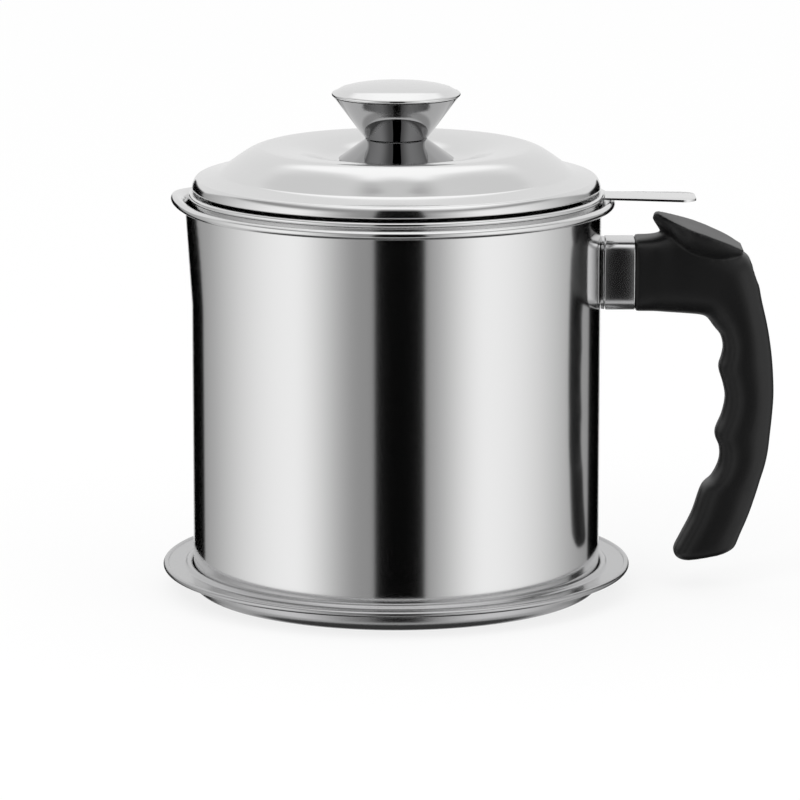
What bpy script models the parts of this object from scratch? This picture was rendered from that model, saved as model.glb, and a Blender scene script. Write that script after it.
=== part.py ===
"""Bacon grease container: a steel pot with a spout and a side handle, a strainer that hangs
in its mouth, a domed lid with a spun knob, and a drip tray that the pot stands in.

Metres, +Z up. The origin is on the pot's axis at the tray's underside. The handle points
along +X and the spout along -X. Each piece that lifts off hangs under an empty on the axis.
"""

import math

import bmesh
import bpy

MM = 0.001

# Shared by all pieces
GAP = 0.3 * MM
OVERRUN = 3.0 * MM
WELD = 0.001 * MM
RING_STEPS = 40
SMALL_STEPS = 20
HANDLE_SIDES = 20
SHARP_ANGLE = math.radians(32)

# Pot
POT_RADIUS = 69.0 * MM
POT_HEIGHT = 131.1 * MM
POT_SHEET = 0.6 * MM
POT_CORNER = 3.0 * MM
LIP_PROUD = 4.65 * MM
LIP_BEAD_RADIUS = 1.4 * MM
FLARE_ANGLE = 40.0
LIP_CLOSING_ANGLE = -150.0
SPOUT_DROP = 34.0 * MM
SPOUT_REACH = 2.2 * MM
SPOUT_LIFT = 1.5 * MM
SPOUT_HALF_ANGLE = math.radians(25)
SPOUT_LIFT_POWER = 3

# Drip tray
TRAY_SHEET = 0.6 * MM
TRAY_FLANGE_WIDTH = 10.3 * MM
TRAY_FLANGE_HEIGHT = 8.4 * MM
TRAY_CREST_RISE = 1.0 * MM
TRAY_CREST_RADIUS = 1.2 * MM
TRAY_CREST_WIDTH = 3.0 * MM
TRAY_HEM_RADIUS = 1.0 * MM
TRAY_CREST_ANGLE = 45.0
TRAY_HEM_ANGLE = 150.0

# Strainer
STRAINER_SHEET = 0.5 * MM
STRAINER_PLAY = 1.4 * MM
STRAINER_DEPTH = 39.5 * MM
STRAINER_CORNER = 3.0 * MM
STRAINER_FLOOR_WIDTH = 9.0 * MM
STRAINER_NECK = 1.7 * MM
STRAINER_RISE = 2.85 * MM
STRAINER_BEAD_RADIUS = 0.95 * MM
STRAINER_BEAD_PROUD = 0.75 * MM
STRAINER_BEAD_START = -55.0
STRAINER_BEAD_END = 265.0
SEAT_LOW_ANGLE = 12.0
SEAT_HIGH_ANGLE = 24.0
MESH_SHEET = 0.6 * MM
MESH_PITCH = 12.0 * MM
MESH_WIRE = 1.8 * MM
MESH_RING_HEIGHT = 1.2 * MM
MESH_RING_CHAMFER = 0.4 * MM
TAB_SHEET = 0.8 * MM
TAB_ROOT_SHEET = 0.5 * MM
TAB_ROOT_DROP = 1.7 * MM
TAB_REACH = 30.7 * MM
TAB_ROOT_WIDTH = 15.0 * MM
TAB_END_WIDTH = 18.5 * MM
TAB_CORNER = 5.0 * MM
TAB_FALL = 0.5 * MM
TAB_STRIPS = 8

# Lid
LID_SHEET = 0.6 * MM
LID_BEAD_INSET = 1.75 * MM
LID_BEAD_RADIUS = 1.45 * MM
LID_BEAD_CLOSING_ANGLE = -215.0
LID_SEAT_MARGIN = 0.7 * MM
LID_SEAT_HEIGHT = 9.3 * MM
LID_CROWN_SHARE = 0.6
LID_CROWN_HEIGHT = 13.9 * MM
LID_BREAK_INSET = 8.65 * MM
LID_BREAK_HEIGHT = 5.4 * MM
LID_BRIM_INSET = 2.75 * MM
LID_BRIM_HEIGHT = 3.9 * MM
# Radius and height along each stretch of the lid, from its inner end to its outer end
DISH_SHARES = ((0.15, 0.12), (0.38, 0.55), (0.66, 0.87))
CROWN_SHARES = ((0.18, 0.955), (0.36, 0.82), (0.55, 0.6), (0.75, 0.33), (0.92, 0.09))
BRIM_SHARES = ((0.5, 0.46),)
EDGE_SHARES = ((0.45, 0.83), (0.8, 0.52), (0.97, 0.2))

# Knob
KNOB_SHEET = 0.8 * MM
SKIRT_RADIUS = 19.3 * MM
SKIRT_HEIGHT = 6.9 * MM
WAIST_RADIUS = 10.7 * MM
CONE_RADIUS = 20.9 * MM
CONE_HEIGHT = 13.85 * MM
CAP_LAP = 0.75 * MM
CAP_EDGE = 1.3 * MM
CAP_RISE = 3.5 * MM
CAP_DOME_SHARES = ((0.35, 0.93), (0.65, 0.72), (0.88, 0.4))
CORE_RADIUS = 6.0 * MM
CORE_FLANGE_RADIUS = 9.0 * MM
CORE_FLANGE_HEIGHT = 3.0 * MM
KNOB_SCREW_RADIUS = 2.5 * MM
KNOB_SCREW_LENGTH = 9.0 * MM
KNOB_HEAD_RADIUS = 4.6 * MM
KNOB_HEAD_HEIGHT = 2.3 * MM
KNOB_WASHER_RADIUS = 7.0 * MM
WASHER_SHEET = 0.8 * MM
SCREW_SLACK = 0.3 * MM
SCREW_TIP = 0.6 * MM

# Handle: its axis is level, and low enough to leave the thumb room under the strainer's tab
THUMB_ROOM = 4.38 * MM
PAD_SHEET = 1.0 * MM
PAD_INSET = 0.2 * MM
FERRULE_HALF_WIDTH = 10.0 * MM
FERRULE_HALF_HEIGHT = 11.95 * MM
FERRULE_WALL = 0.8 * MM
FERRULE_POWER = 5.0
FERRULE_END = 11.2 * MM
CUP_WALL = 1.0 * MM
CUP_END = 7.4 * MM
SPIGOT_LENGTH = 3.0 * MM
SPIGOT_CHAMFER = 0.4 * MM
GRIP_REACH = 47.3 * MM
GRIP_PROUD = 0.35 * MM
GRIP_FOOT = 8.5 * MM
GRIP_HALF_WIDTH = 11.5 * MM
# Inner x and z, outer x and z, half width, and how square the section is
GRIP_SHARES = (
    (0.127, -0.129, 0.137, 0.132, 0.89, 3.4),
    (0.243, -0.133, 0.296, 0.153, 0.94, 3.2),
    (0.359, -0.137, 0.455, 0.135, 0.97, 3.0),
    (0.455, -0.141, 0.592, 0.107, 0.99, 2.9),
    (0.503, -0.148, 0.722, 0.083, 0.99, 2.8),
    (0.531, -0.162, 0.814, 0.054, 0.99, 2.7),
    (0.567, -0.186, 0.875, -0.019, 0.99, 2.6),
    (0.613, -0.214, 0.905, -0.090, 0.99, 2.6),
    (0.634, -0.256, 0.945, -0.172, 0.99, 2.5),
    (0.622, -0.294, 0.968, -0.232, 0.99, 2.5),
    (0.603, -0.330, 0.985, -0.293, 0.99, 2.5),
    (0.636, -0.385, 0.996, -0.359, 0.98, 2.5),
    (0.653, -0.435, 1.000, -0.425, 0.97, 2.5),
    (0.630, -0.494, 0.992, -0.491, 0.97, 2.5),
    (0.581, -0.557, 0.979, -0.559, 0.96, 2.5),
    (0.615, -0.608, 0.966, -0.618, 0.95, 2.5),
    (0.613, -0.659, 0.945, -0.669, 0.94, 2.5),
    (0.560, -0.714, 0.913, -0.720, 0.92, 2.6),
    (0.488, -0.750, 0.886, -0.765, 0.90, 2.7),
    (0.423, -0.842, 0.833, -0.842, 0.89, 2.8),
    (0.342, -0.921, 0.772, -0.913, 0.87, 2.9),
    (0.296, -0.968, 0.744, -0.947, 0.85, 3.0),
    (0.311, -0.991, 0.725, -0.959, 0.81, 3.0),
    (0.353, -1.000, 0.679, -0.972, 0.71, 3.0),
)
THUMB_START_X = 6.67 * MM
THUMB_START_Z = 20.92 * MM
THUMB_SLOPE = math.radians(22.2)
THUMB_LENGTH = 31.9 * MM
THUMB_HALF_WIDTH = 14.2 * MM
THUMB_DEPTH = 11.0 * MM
THUMB_SIDES = 8
# Place along the rest, half width, the top's fall at the rounded nose, and depth
THUMB_SHARES = (
    (0.0, 0.14, 0.07, 0.21),
    (0.015, 0.20, 0.012, 0.27),
    (0.07, 0.42, 0.0, 0.38),
    (0.13, 0.58, 0.0, 0.50),
    (0.26, 0.84, 0.0, 0.72),
    (0.41, 1.0, 0.0, 0.90),
    (0.54, 1.0, 0.0, 1.0),
    (0.69, 0.95, 0.0, 1.0),
    (0.84, 0.84, 0.0, 0.85),
    (0.96, 0.66, 0.0, 0.50),
    (1.0, 0.58, 0.0, 0.28),
)
HANDLE_SCREW_RADIUS = 2.0 * MM
HANDLE_HEAD_RADIUS = 3.7 * MM
HANDLE_HEAD_HEIGHT = 2.6 * MM
HANDLE_WASHER_RADIUS = 4.0 * MM
COUNTERBORE_RADIUS = 4.5 * MM
COUNTERBORE_SEAT = 29.0 * MM
NUT_RADIUS = 4.0 * MM
NUT_HEIGHT = 3.0 * MM
SCREW_PAST_NUT = 1.0 * MM

# Derived places
POT_STAND = TRAY_SHEET + GAP
POT_INNER_RADIUS = POT_RADIUS - POT_SHEET
POT_LIP_RADIUS = POT_RADIUS + LIP_PROUD
TRAY_RADIUS = POT_RADIUS + TRAY_FLANGE_WIDTH
LIP_CENTRE_RADIUS = POT_LIP_RADIUS - LIP_BEAD_RADIUS
FLARE_COS = math.cos(math.radians(FLARE_ANGLE))
FLARE_SIN = math.sin(math.radians(FLARE_ANGLE))
FLARE_RUN = LIP_CENTRE_RADIUS - LIP_BEAD_RADIUS * FLARE_COS - POT_INNER_RADIUS
FLARE_RADIUS = FLARE_RUN / (1 - FLARE_COS)
FLARE_CENTRE_RADIUS = POT_INNER_RADIUS + FLARE_RADIUS
FLARE_START = POT_HEIGHT + (LIP_BEAD_RADIUS - FLARE_RADIUS) * FLARE_SIN
SPOUT_START = POT_HEIGHT - SPOUT_DROP
SEAT_RADIUS = FLARE_RADIUS + GAP
STRAINER_RADIUS = POT_INNER_RADIUS - STRAINER_PLAY
STRAINER_NECK_RADIUS = FLARE_CENTRE_RADIUS - SEAT_RADIUS * math.cos(math.radians(SEAT_HIGH_ANGLE))
STRAINER_BEAD_CENTRE = STRAINER_NECK_RADIUS + STRAINER_BEAD_PROUD - STRAINER_BEAD_RADIUS
STRAINER_HOLE_RADIUS = STRAINER_RADIUS - STRAINER_SHEET - STRAINER_FLOOR_WIDTH
MESH_RADIUS = STRAINER_RADIUS - STRAINER_CORNER - GAP
MESH_UNDERSIDE = STRAINER_SHEET + GAP - STRAINER_DEPTH
TAB_UNDERSIDE = LIP_BEAD_RADIUS + GAP
LID_BEAD_CENTRE = STRAINER_BEAD_CENTRE - LID_BEAD_INSET
LID_RADIUS = LID_BEAD_CENTRE + LID_BEAD_RADIUS
LID_BREAK_RADIUS = LID_RADIUS - LID_BREAK_INSET
LID_BRIM_RADIUS = LID_RADIUS - LID_BRIM_INSET
LID_SEAT_RADIUS = SKIRT_RADIUS + LID_SEAT_MARGIN
CAP_RADIUS = CONE_RADIUS + CAP_LAP
LID_CROWN_RADIUS = LID_SEAT_RADIUS + LID_CROWN_SHARE * (LID_BREAK_RADIUS - LID_SEAT_RADIUS)
LID_NEST = STRAINER_BEAD_RADIUS + LID_BEAD_RADIUS + GAP
LID_RISE = STRAINER_RISE + math.sqrt(LID_NEST**2 - LID_BEAD_INSET**2)
SCREW_HOLE_RADIUS = KNOB_SCREW_RADIUS + SCREW_SLACK
PAD_INNER = POT_RADIUS + GAP
PAD_OUTER = PAD_INNER + PAD_SHEET
FERRULE_SADDLE = PAD_OUTER + GAP
GRIP_START = FERRULE_END + GAP
HANDLE_HEIGHT = POT_HEIGHT + TAB_UNDERSIDE - TAB_FALL - THUMB_ROOM - THUMB_START_Z
GRIP_DROP = HANDLE_HEIGHT - GRIP_FOOT

STEEL = ((0.78, 0.78, 0.78), 0.12, 1.0)
SATIN_STEEL = ((0.62, 0.62, 0.63), 0.3, 1.0)
DARK_STEEL = ((0.45, 0.45, 0.46), 0.15, 1.0)
WIRE_STEEL = ((0.5, 0.5, 0.5), 0.4, 1.0)
BLACK_PLASTIC = ((0.012, 0.012, 0.013), 0.45, 0.0)


def clear_scene():
    for obj in list(bpy.data.objects):
        bpy.data.objects.remove(obj)


def make_material(name, finish):
    colour, roughness, metallic = finish
    material = bpy.data.materials.new(name)
    material.use_nodes = True
    shader = material.node_tree.nodes["Principled BSDF"]
    shader.inputs["Base Color"].default_value = (*colour, 1)
    shader.inputs["Roughness"].default_value = roughness
    shader.inputs["Metallic"].default_value = metallic
    return material


def add_empty(name, parent=None, location=(0, 0, 0)):
    empty = bpy.data.objects.new(name, None)
    bpy.context.scene.collection.objects.link(empty)
    empty.parent = parent
    empty.location = location
    return empty


def add_object(name, bm, parent=None, location=(0, 0, 0), rotation=(0, 0, 0)):
    mesh = bpy.data.meshes.new(name)
    bmesh.ops.recalc_face_normals(bm, faces=bm.faces)
    bm.to_mesh(mesh)
    bm.free()
    mesh.shade_smooth()
    mesh.set_sharp_from_angle(angle=SHARP_ANGLE)
    obj = bpy.data.objects.new(name, mesh)
    bpy.context.scene.collection.objects.link(obj)
    obj.parent = parent
    obj.location = location
    obj.rotation_euler = rotation
    return obj


def add_piece(name, bm, finish, parent=None, location=(0, 0, 0), rotation=(0, 0, 0)):
    obj = add_object(name, bm, parent, location, rotation)
    obj.data.materials.append(make_material(name + "_finish", finish))
    return obj


def add_helper(name, bm, parent=None, location=(0, 0, 0), rotation=(0, 0, 0)):
    """A cutter, or a shape that a Boolean joins to a piece."""
    obj = add_object(name, bm, parent, location, rotation)
    obj.hide_render = True
    obj.display_type = "WIRE"
    return obj


def add_boolean(piece, operation, helper):
    modifier = piece.modifiers.new(operation.lower(), "BOOLEAN")
    modifier.operation = operation
    modifier.solver = "EXACT"
    modifier.object = helper


def arc(centre, radius, start, end, steps):
    """Points (r, z) on an arc, with both ends, from start to end in degrees."""
    angles = (math.radians(start + (end - start) * i / steps) for i in range(steps + 1))
    return [(centre[0] + radius * math.cos(a), centre[1] + radius * math.sin(a)) for a in angles]


def stretch(start, end, shares):
    """Points (r, z) between two ends: a share of the radius run, and of the height at the start."""
    return [
        (start[0] + (end[0] - start[0]) * r, end[1] + (start[1] - end[1]) * z)
        for r, z in shares
    ]


def offset_down(path, distance):
    """The path moved to its lower side, each point along the mean normal of its two edges."""
    moved = []
    for i, (r, z) in enumerate(path):
        before = path[max(i - 1, 0)]
        after = path[min(i + 1, len(path) - 1)]
        length = math.hypot(after[0] - before[0], after[1] - before[1])
        moved.append(
            (
                r + distance * (after[1] - before[1]) / length,
                z - distance * (after[0] - before[0]) / length,
            )
        )
    return moved


def spin_section(section, steps):
    """Turns a section (r, z) about the Z axis. One that starts off the axis is a closed ring."""
    bm = bmesh.new()
    points = [bm.verts.new((r, 0, z)) for r, z in section]
    pairs = list(zip(points, points[1:]))
    if section[0][0] > 0:
        pairs.append((points[-1], points[0]))
    edges = [bm.edges.new(pair) for pair in pairs]
    bmesh.ops.spin(
        bm,
        geom=points + edges,
        cent=(0, 0, 0),
        axis=(0, 0, 1),
        angle=2 * math.pi,
        steps=steps,
        use_merge=True,
    )
    bmesh.ops.remove_doubles(bm, verts=bm.verts, dist=WELD)
    return bm


def loft_loops(loops, closed=False):
    """Skins loops of equal length. An open loft is capped at both ends."""
    bm = bmesh.new()
    rows = [[bm.verts.new(point) for point in loop] for loop in loops]
    pairs = list(zip(rows, rows[1:]))
    if closed:
        pairs.append((rows[-1], rows[0]))
    for row, following in pairs:
        for i in range(len(row)):
            j = (i + 1) % len(row)
            bm.faces.new((row[i], row[j], following[j], following[i]))
    if not closed:
        bm.faces.new(rows[0])
        bm.faces.new(reversed(rows[-1]))
    return bm


def rounded_loop(half_width, half_height, power, sides):
    """Points (y, z) of a rounded rectangle: power 2 is an ellipse, and more is squarer."""
    points = []
    for i in range(sides):
        c = math.cos(2 * math.pi * i / sides)
        s = math.sin(2 * math.pi * i / sides)
        y = math.copysign(abs(c) ** (2 / power), c)
        z = math.copysign(abs(s) ** (2 / power), s)
        points.append((half_width * y, half_height * z))
    return points


def tray_section():
    well = POT_RADIUS + GAP
    corner = (POT_RADIUS - POT_CORNER, POT_STAND + POT_CORNER)
    crest = (well + TRAY_CREST_RADIUS, TRAY_FLANGE_HEIGHT + TRAY_CREST_RISE - TRAY_CREST_RADIUS)
    hem = (TRAY_RADIUS - TRAY_HEM_RADIUS, TRAY_FLANGE_HEIGHT - TRAY_SHEET / 2)
    slope_end = well + TRAY_CREST_WIDTH
    section = [(0, TRAY_SHEET)]
    section += arc(corner, POT_CORNER + GAP, -90, 0, 3)
    section += arc(crest, TRAY_CREST_RADIUS, 180, TRAY_CREST_ANGLE, 3)
    section.append((slope_end, TRAY_FLANGE_HEIGHT))
    section += arc(hem, TRAY_HEM_RADIUS, TRAY_HEM_ANGLE, -TRAY_HEM_ANGLE, 6)
    section.append((slope_end, TRAY_FLANGE_HEIGHT - TRAY_SHEET))
    section += arc(crest, TRAY_CREST_RADIUS - TRAY_SHEET, TRAY_CREST_ANGLE, 180, 2)
    section += arc(corner, POT_CORNER + GAP + TRAY_SHEET, 0, -90, 3)
    section.append((0, 0))
    return section


def make_tray():
    add_piece("tray", spin_section(tray_section(), RING_STEPS), STEEL)


def pot_section():
    corner = (POT_RADIUS - POT_CORNER, POT_CORNER)
    flare = (FLARE_CENTRE_RADIUS, FLARE_START)
    bead = (LIP_CENTRE_RADIUS, POT_HEIGHT)
    flare_end = 180 - FLARE_ANGLE
    section = [(0, POT_SHEET)]
    section += arc(corner, POT_CORNER - POT_SHEET, -90, 0, 3)
    section.append((POT_INNER_RADIUS, SPOUT_START))
    section += arc(flare, FLARE_RADIUS, 180, flare_end, 4)[:-1]
    section += arc(bead, LIP_BEAD_RADIUS, flare_end, LIP_CLOSING_ANGLE, 7)
    section += arc(flare, FLARE_RADIUS - POT_SHEET, -LIP_CLOSING_ANGLE, 180, 3)
    section.append((POT_RADIUS, SPOUT_START))
    section += arc(corner, POT_CORNER, 0, -90, 3)
    section.append((0, 0))
    return section


def draw_spout(bm):
    """Draws the lip and the wall below it out to a low spout on the -X side."""
    for vert in bm.verts:
        off = abs(math.atan2(vert.co.y, -vert.co.x))
        if vert.co.z <= SPOUT_START or off >= SPOUT_HALF_ANGLE:
            continue
        rise = (vert.co.z - SPOUT_START) / SPOUT_DROP
        share = 0.5 + 0.5 * math.cos(math.pi * off / SPOUT_HALF_ANGLE)
        vert.co.x -= SPOUT_REACH * share * rise
        vert.co.z += SPOUT_LIFT * share * rise**SPOUT_LIFT_POWER


def make_pot():
    """The pot lifts out of the tray, so all that moves with it hangs under this empty."""
    pot = add_empty("pot_lift", location=(0, 0, POT_STAND))
    bm = spin_section(pot_section(), RING_STEPS)
    draw_spout(bm)
    add_piece("pot_body", bm, STEEL, pot)
    return pot


def saddle_loop(radius, outline):
    """A loop of (y, z) pressed onto the upright cylinder of this radius, from the wall's own face."""
    return [(math.sqrt(radius**2 - y**2) - POT_RADIUS, y, z) for y, z in outline]


def flat_loop(x, outline):
    return [(x, y, z) for y, z in outline]


def ferrule_outline(inset):
    return rounded_loop(
        FERRULE_HALF_WIDTH - inset, FERRULE_HALF_HEIGHT - inset, FERRULE_POWER, HANDLE_SIDES
    )


def make_bracket(handle):
    """A pressed cup with a flange that hugs the wall, and a hole for the handle's screw."""
    inset = FERRULE_WALL + GAP
    pad = ferrule_outline(PAD_INSET)
    cup = ferrule_outline(inset)
    hollow = ferrule_outline(inset + CUP_WALL)
    hole_radius = HANDLE_SCREW_RADIUS + SCREW_SLACK
    hole = rounded_loop(hole_radius, hole_radius, 2, HANDLE_SIDES)
    loops = [saddle_loop(PAD_INNER, pad), saddle_loop(PAD_OUTER, pad), saddle_loop(PAD_OUTER, cup)]
    loops.append(flat_loop(CUP_END, cup))
    loops.append(flat_loop(CUP_END, hole))
    loops.append(flat_loop(CUP_END - CUP_WALL, hole))
    loops.append(flat_loop(CUP_END - CUP_WALL, hollow))
    loops.append(saddle_loop(PAD_INNER, hollow))
    add_piece("handle_bracket", loft_loops(loops, closed=True), SATIN_STEEL, handle)


def make_ferrule(handle):
    """The sleeve between the bracket's flange and the plastic, cut to sit on the flange."""
    outer = ferrule_outline(0)
    inner = ferrule_outline(FERRULE_WALL)
    loops = [
        saddle_loop(FERRULE_SADDLE, outer),
        flat_loop(FERRULE_END, outer),
        flat_loop(FERRULE_END, inner),
        saddle_loop(FERRULE_SADDLE, inner),
    ]
    add_piece("handle_ferrule", loft_loops(loops, closed=True), SATIN_STEEL, handle)


def grip_loops():
    """The spigot in the ferrule, the arm's face on it, and then a section at each pair of points."""
    spigot = ferrule_outline(FERRULE_WALL + GAP)
    tip = ferrule_outline(FERRULE_WALL + GAP + SPIGOT_CHAMFER)
    loops = [
        flat_loop(GRIP_START - SPIGOT_LENGTH, tip),
        flat_loop(GRIP_START - SPIGOT_LENGTH + SPIGOT_CHAMFER, spigot),
        flat_loop(GRIP_START, spigot),
        flat_loop(GRIP_START, ferrule_outline(-GRIP_PROUD)),
    ]
    for inner_x, inner_z, outer_x, outer_z, width, power in GRIP_SHARES:
        middle_x = GRIP_START + GRIP_REACH * (inner_x + outer_x) / 2
        middle_z = GRIP_DROP * (inner_z + outer_z) / 2
        lean_x = GRIP_REACH * (outer_x - inner_x) / 2
        lean_z = GRIP_DROP * (outer_z - inner_z) / 2
        outline = rounded_loop(GRIP_HALF_WIDTH * width, 1, power, HANDLE_SIDES)
        loops.append([(middle_x + lean_x * t, y, middle_z + lean_z * t) for y, t in outline])
    return loops


def thumb_loops():
    """The thumb rest's flat top, with a belly under it that runs into the arm."""
    along_x, along_z = math.cos(THUMB_SLOPE), -math.sin(THUMB_SLOPE)
    loops = []
    for place, width, fall, depth in THUMB_SHARES:
        x = GRIP_START + THUMB_START_X + along_x * THUMB_LENGTH * place
        z = THUMB_START_Z + along_z * THUMB_LENGTH * place
        loop = []
        for i in range(THUMB_SIDES + 1):
            turn = math.pi * i / THUMB_SIDES
            down = THUMB_DEPTH * (fall + (depth - fall) * math.sin(turn))
            y = THUMB_HALF_WIDTH * width * math.cos(turn)
            loop.append((x + along_z * down, y, z - along_x * down))
        loops.append(loop)
    return loops


def screw_bore_section():
    """The hole along the arm, and the wider counterbore that comes out at the grip's back."""
    hole = HANDLE_SCREW_RADIUS + SCREW_SLACK
    end = GRIP_START + GRIP_REACH + OVERRUN
    return [
        (0, GRIP_START - SPIGOT_LENGTH - OVERRUN),
        (hole, GRIP_START - SPIGOT_LENGTH - OVERRUN),
        (hole, COUNTERBORE_SEAT),
        (COUNTERBORE_RADIUS, COUNTERBORE_SEAT),
        (COUNTERBORE_RADIUS, end),
        (0, end),
    ]


def make_grip(handle):
    grip = add_piece("handle_grip", loft_loops(grip_loops()), BLACK_PLASTIC, handle)
    thumb = add_helper("thumb_rest_shape", loft_loops(thumb_loops()), handle)
    bore_bm = spin_section(screw_bore_section(), SMALL_STEPS)
    bore = add_helper("screw_bore_cutter", bore_bm, handle, rotation=(0, math.pi / 2, 0))
    add_boolean(grip, "UNION", thumb)
    add_boolean(grip, "DIFFERENCE", bore)


def washer_section(hole, radius):
    return [(hole, 0), (radius, 0), (radius, WASHER_SHEET), (hole, WASHER_SHEET)]


def screw_section(radius, length, head_radius, head_height):
    """A screw along +Z: its head's seat is at zero, its dome above and its shank below."""
    shoulder = head_height / 2
    dome = arc((head_radius - shoulder, shoulder), shoulder, 0, 90, 2)
    shank = [(radius, 0), (radius, SCREW_TIP - length), (radius - SCREW_TIP, -length), (0, -length)]
    return [(0, head_height)] + dome[::-1] + [(head_radius, 0)] + shank


def make_handle_screw(handle):
    """The screw holds the grip from its back: washer, shank through grip and cup, and the nut."""
    along_x = (0, math.pi / 2, 0)
    washer = washer_section(HANDLE_SCREW_RADIUS + SCREW_SLACK, HANDLE_WASHER_RADIUS)
    seat = COUNTERBORE_SEAT + GAP
    add_piece(
        "handle_washer", spin_section(washer, SMALL_STEPS), SATIN_STEEL, handle, (seat, 0, 0), along_x
    )
    head_seat = seat + WASHER_SHEET + GAP
    nut_end = CUP_END - CUP_WALL - GAP - NUT_HEIGHT
    length = head_seat - nut_end + SCREW_PAST_NUT
    screw = screw_section(HANDLE_SCREW_RADIUS, length, HANDLE_HEAD_RADIUS, HANDLE_HEAD_HEIGHT)
    add_piece(
        "handle_screw", spin_section(screw, SMALL_STEPS), SATIN_STEEL, handle, (head_seat, 0, 0), along_x
    )
    make_nut(handle, nut_end)


def make_nut(handle, start):
    """A hexagon nut behind the cup's end wall."""
    sides = 12
    hexagon = []
    for i in range(sides):
        radius = NUT_RADIUS if i % 2 == 0 else NUT_RADIUS * math.cos(math.pi / 6)
        turn = 2 * math.pi * i / sides
        hexagon.append((radius * math.cos(turn), radius * math.sin(turn)))
    hole_radius = HANDLE_SCREW_RADIUS + SCREW_SLACK
    hole = rounded_loop(hole_radius, hole_radius, 2, sides)
    loops = [
        flat_loop(start, hexagon),
        flat_loop(start + NUT_HEIGHT, hexagon),
        flat_loop(start + NUT_HEIGHT, hole),
        flat_loop(start, hole),
    ]
    add_piece("handle_nut", loft_loops(loops, closed=True), SATIN_STEEL, handle)


def make_handle(pot):
    """All of the handle is placed from the wall's face, on the screw's axis."""
    handle = add_empty("handle_axis", pot, (POT_RADIUS, 0, HANDLE_HEIGHT))
    make_bracket(handle)
    make_ferrule(handle)
    make_grip(handle)
    make_handle_screw(handle)


def strainer_section():
    """A floor flange, a straight wall, a shoulder that sits on the pot's flare, and a bead."""
    corner = (STRAINER_RADIUS - STRAINER_CORNER, STRAINER_CORNER - STRAINER_DEPTH)
    flare = (FLARE_CENTRE_RADIUS, FLARE_START - POT_HEIGHT)
    bead = (STRAINER_BEAD_CENTRE, STRAINER_RISE)
    low, high = 180 - SEAT_LOW_ANGLE, 180 - SEAT_HIGH_ANGLE
    shoulder = arc(flare, SEAT_RADIUS, low, high, 2)
    inner_shoulder = arc(flare, SEAT_RADIUS + STRAINER_SHEET, high, low, 2)
    wall_top = shoulder[0][1] - STRAINER_NECK
    section = [(STRAINER_HOLE_RADIUS, -STRAINER_DEPTH)]
    section += arc(corner, STRAINER_CORNER, -90, 0, 2)
    section.append((STRAINER_RADIUS, wall_top))
    section += shoulder
    section += arc(bead, STRAINER_BEAD_RADIUS, STRAINER_BEAD_START, STRAINER_BEAD_END, 8)
    section += inner_shoulder
    section.append((STRAINER_RADIUS - STRAINER_SHEET, wall_top))
    section += arc(corner, STRAINER_CORNER - STRAINER_SHEET, 0, -90, 2)
    section.append((STRAINER_HOLE_RADIUS, STRAINER_SHEET - STRAINER_DEPTH))
    return section


def mesh_holes():
    """A square hole in each cell of the grid that lies inside the floor's opening."""
    bm = bmesh.new()
    half = (MESH_PITCH - MESH_WIRE) / 2
    count = int(STRAINER_HOLE_RADIUS / MESH_PITCH) + 1
    corners = ((-half, -half), (half, -half), (half, half), (-half, half))
    for i in range(-count, count + 1):
        for j in range(-count, count + 1):
            x, y = i * MESH_PITCH, j * MESH_PITCH
            if math.hypot(abs(x) + half, abs(y) + half) > STRAINER_HOLE_RADIUS:
                continue
            low = [bm.verts.new((x + dx, y + dy, -OVERRUN)) for dx, dy in corners]
            top = [bm.verts.new((x + dx, y + dy, OVERRUN)) for dx, dy in corners]
            bm.faces.new(reversed(low))
            bm.faces.new(top)
            for k in range(4):
                bm.faces.new((low[k], low[(k + 1) % 4], top[(k + 1) % 4], top[k]))
    return bm


def make_strainer_mesh(strainer):
    place = (0, 0, MESH_UNDERSIDE)
    disc = [(0, 0), (MESH_RADIUS, 0), (MESH_RADIUS, MESH_SHEET), (0, MESH_SHEET)]
    mesh = add_piece("strainer_mesh", spin_section(disc, RING_STEPS), WIRE_STEEL, strainer, place)
    add_boolean(mesh, "DIFFERENCE", add_helper("mesh_hole_cutter", mesh_holes(), strainer, place))
    low, high = 0, MESH_RING_HEIGHT
    ring = [
        (STRAINER_HOLE_RADIUS, low),
        (MESH_RADIUS, low),
        (MESH_RADIUS, high - MESH_RING_CHAMFER),
        (MESH_RADIUS - MESH_RING_CHAMFER, high),
        (STRAINER_HOLE_RADIUS + MESH_RING_CHAMFER, high),
        (STRAINER_HOLE_RADIUS, high - MESH_RING_CHAMFER),
    ]
    ring_place = (0, 0, MESH_UNDERSIDE + MESH_SHEET + GAP)
    add_piece(
        "strainer_mesh_ring", spin_section(ring, RING_STEPS), SATIN_STEEL, strainer, ring_place
    )


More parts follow.
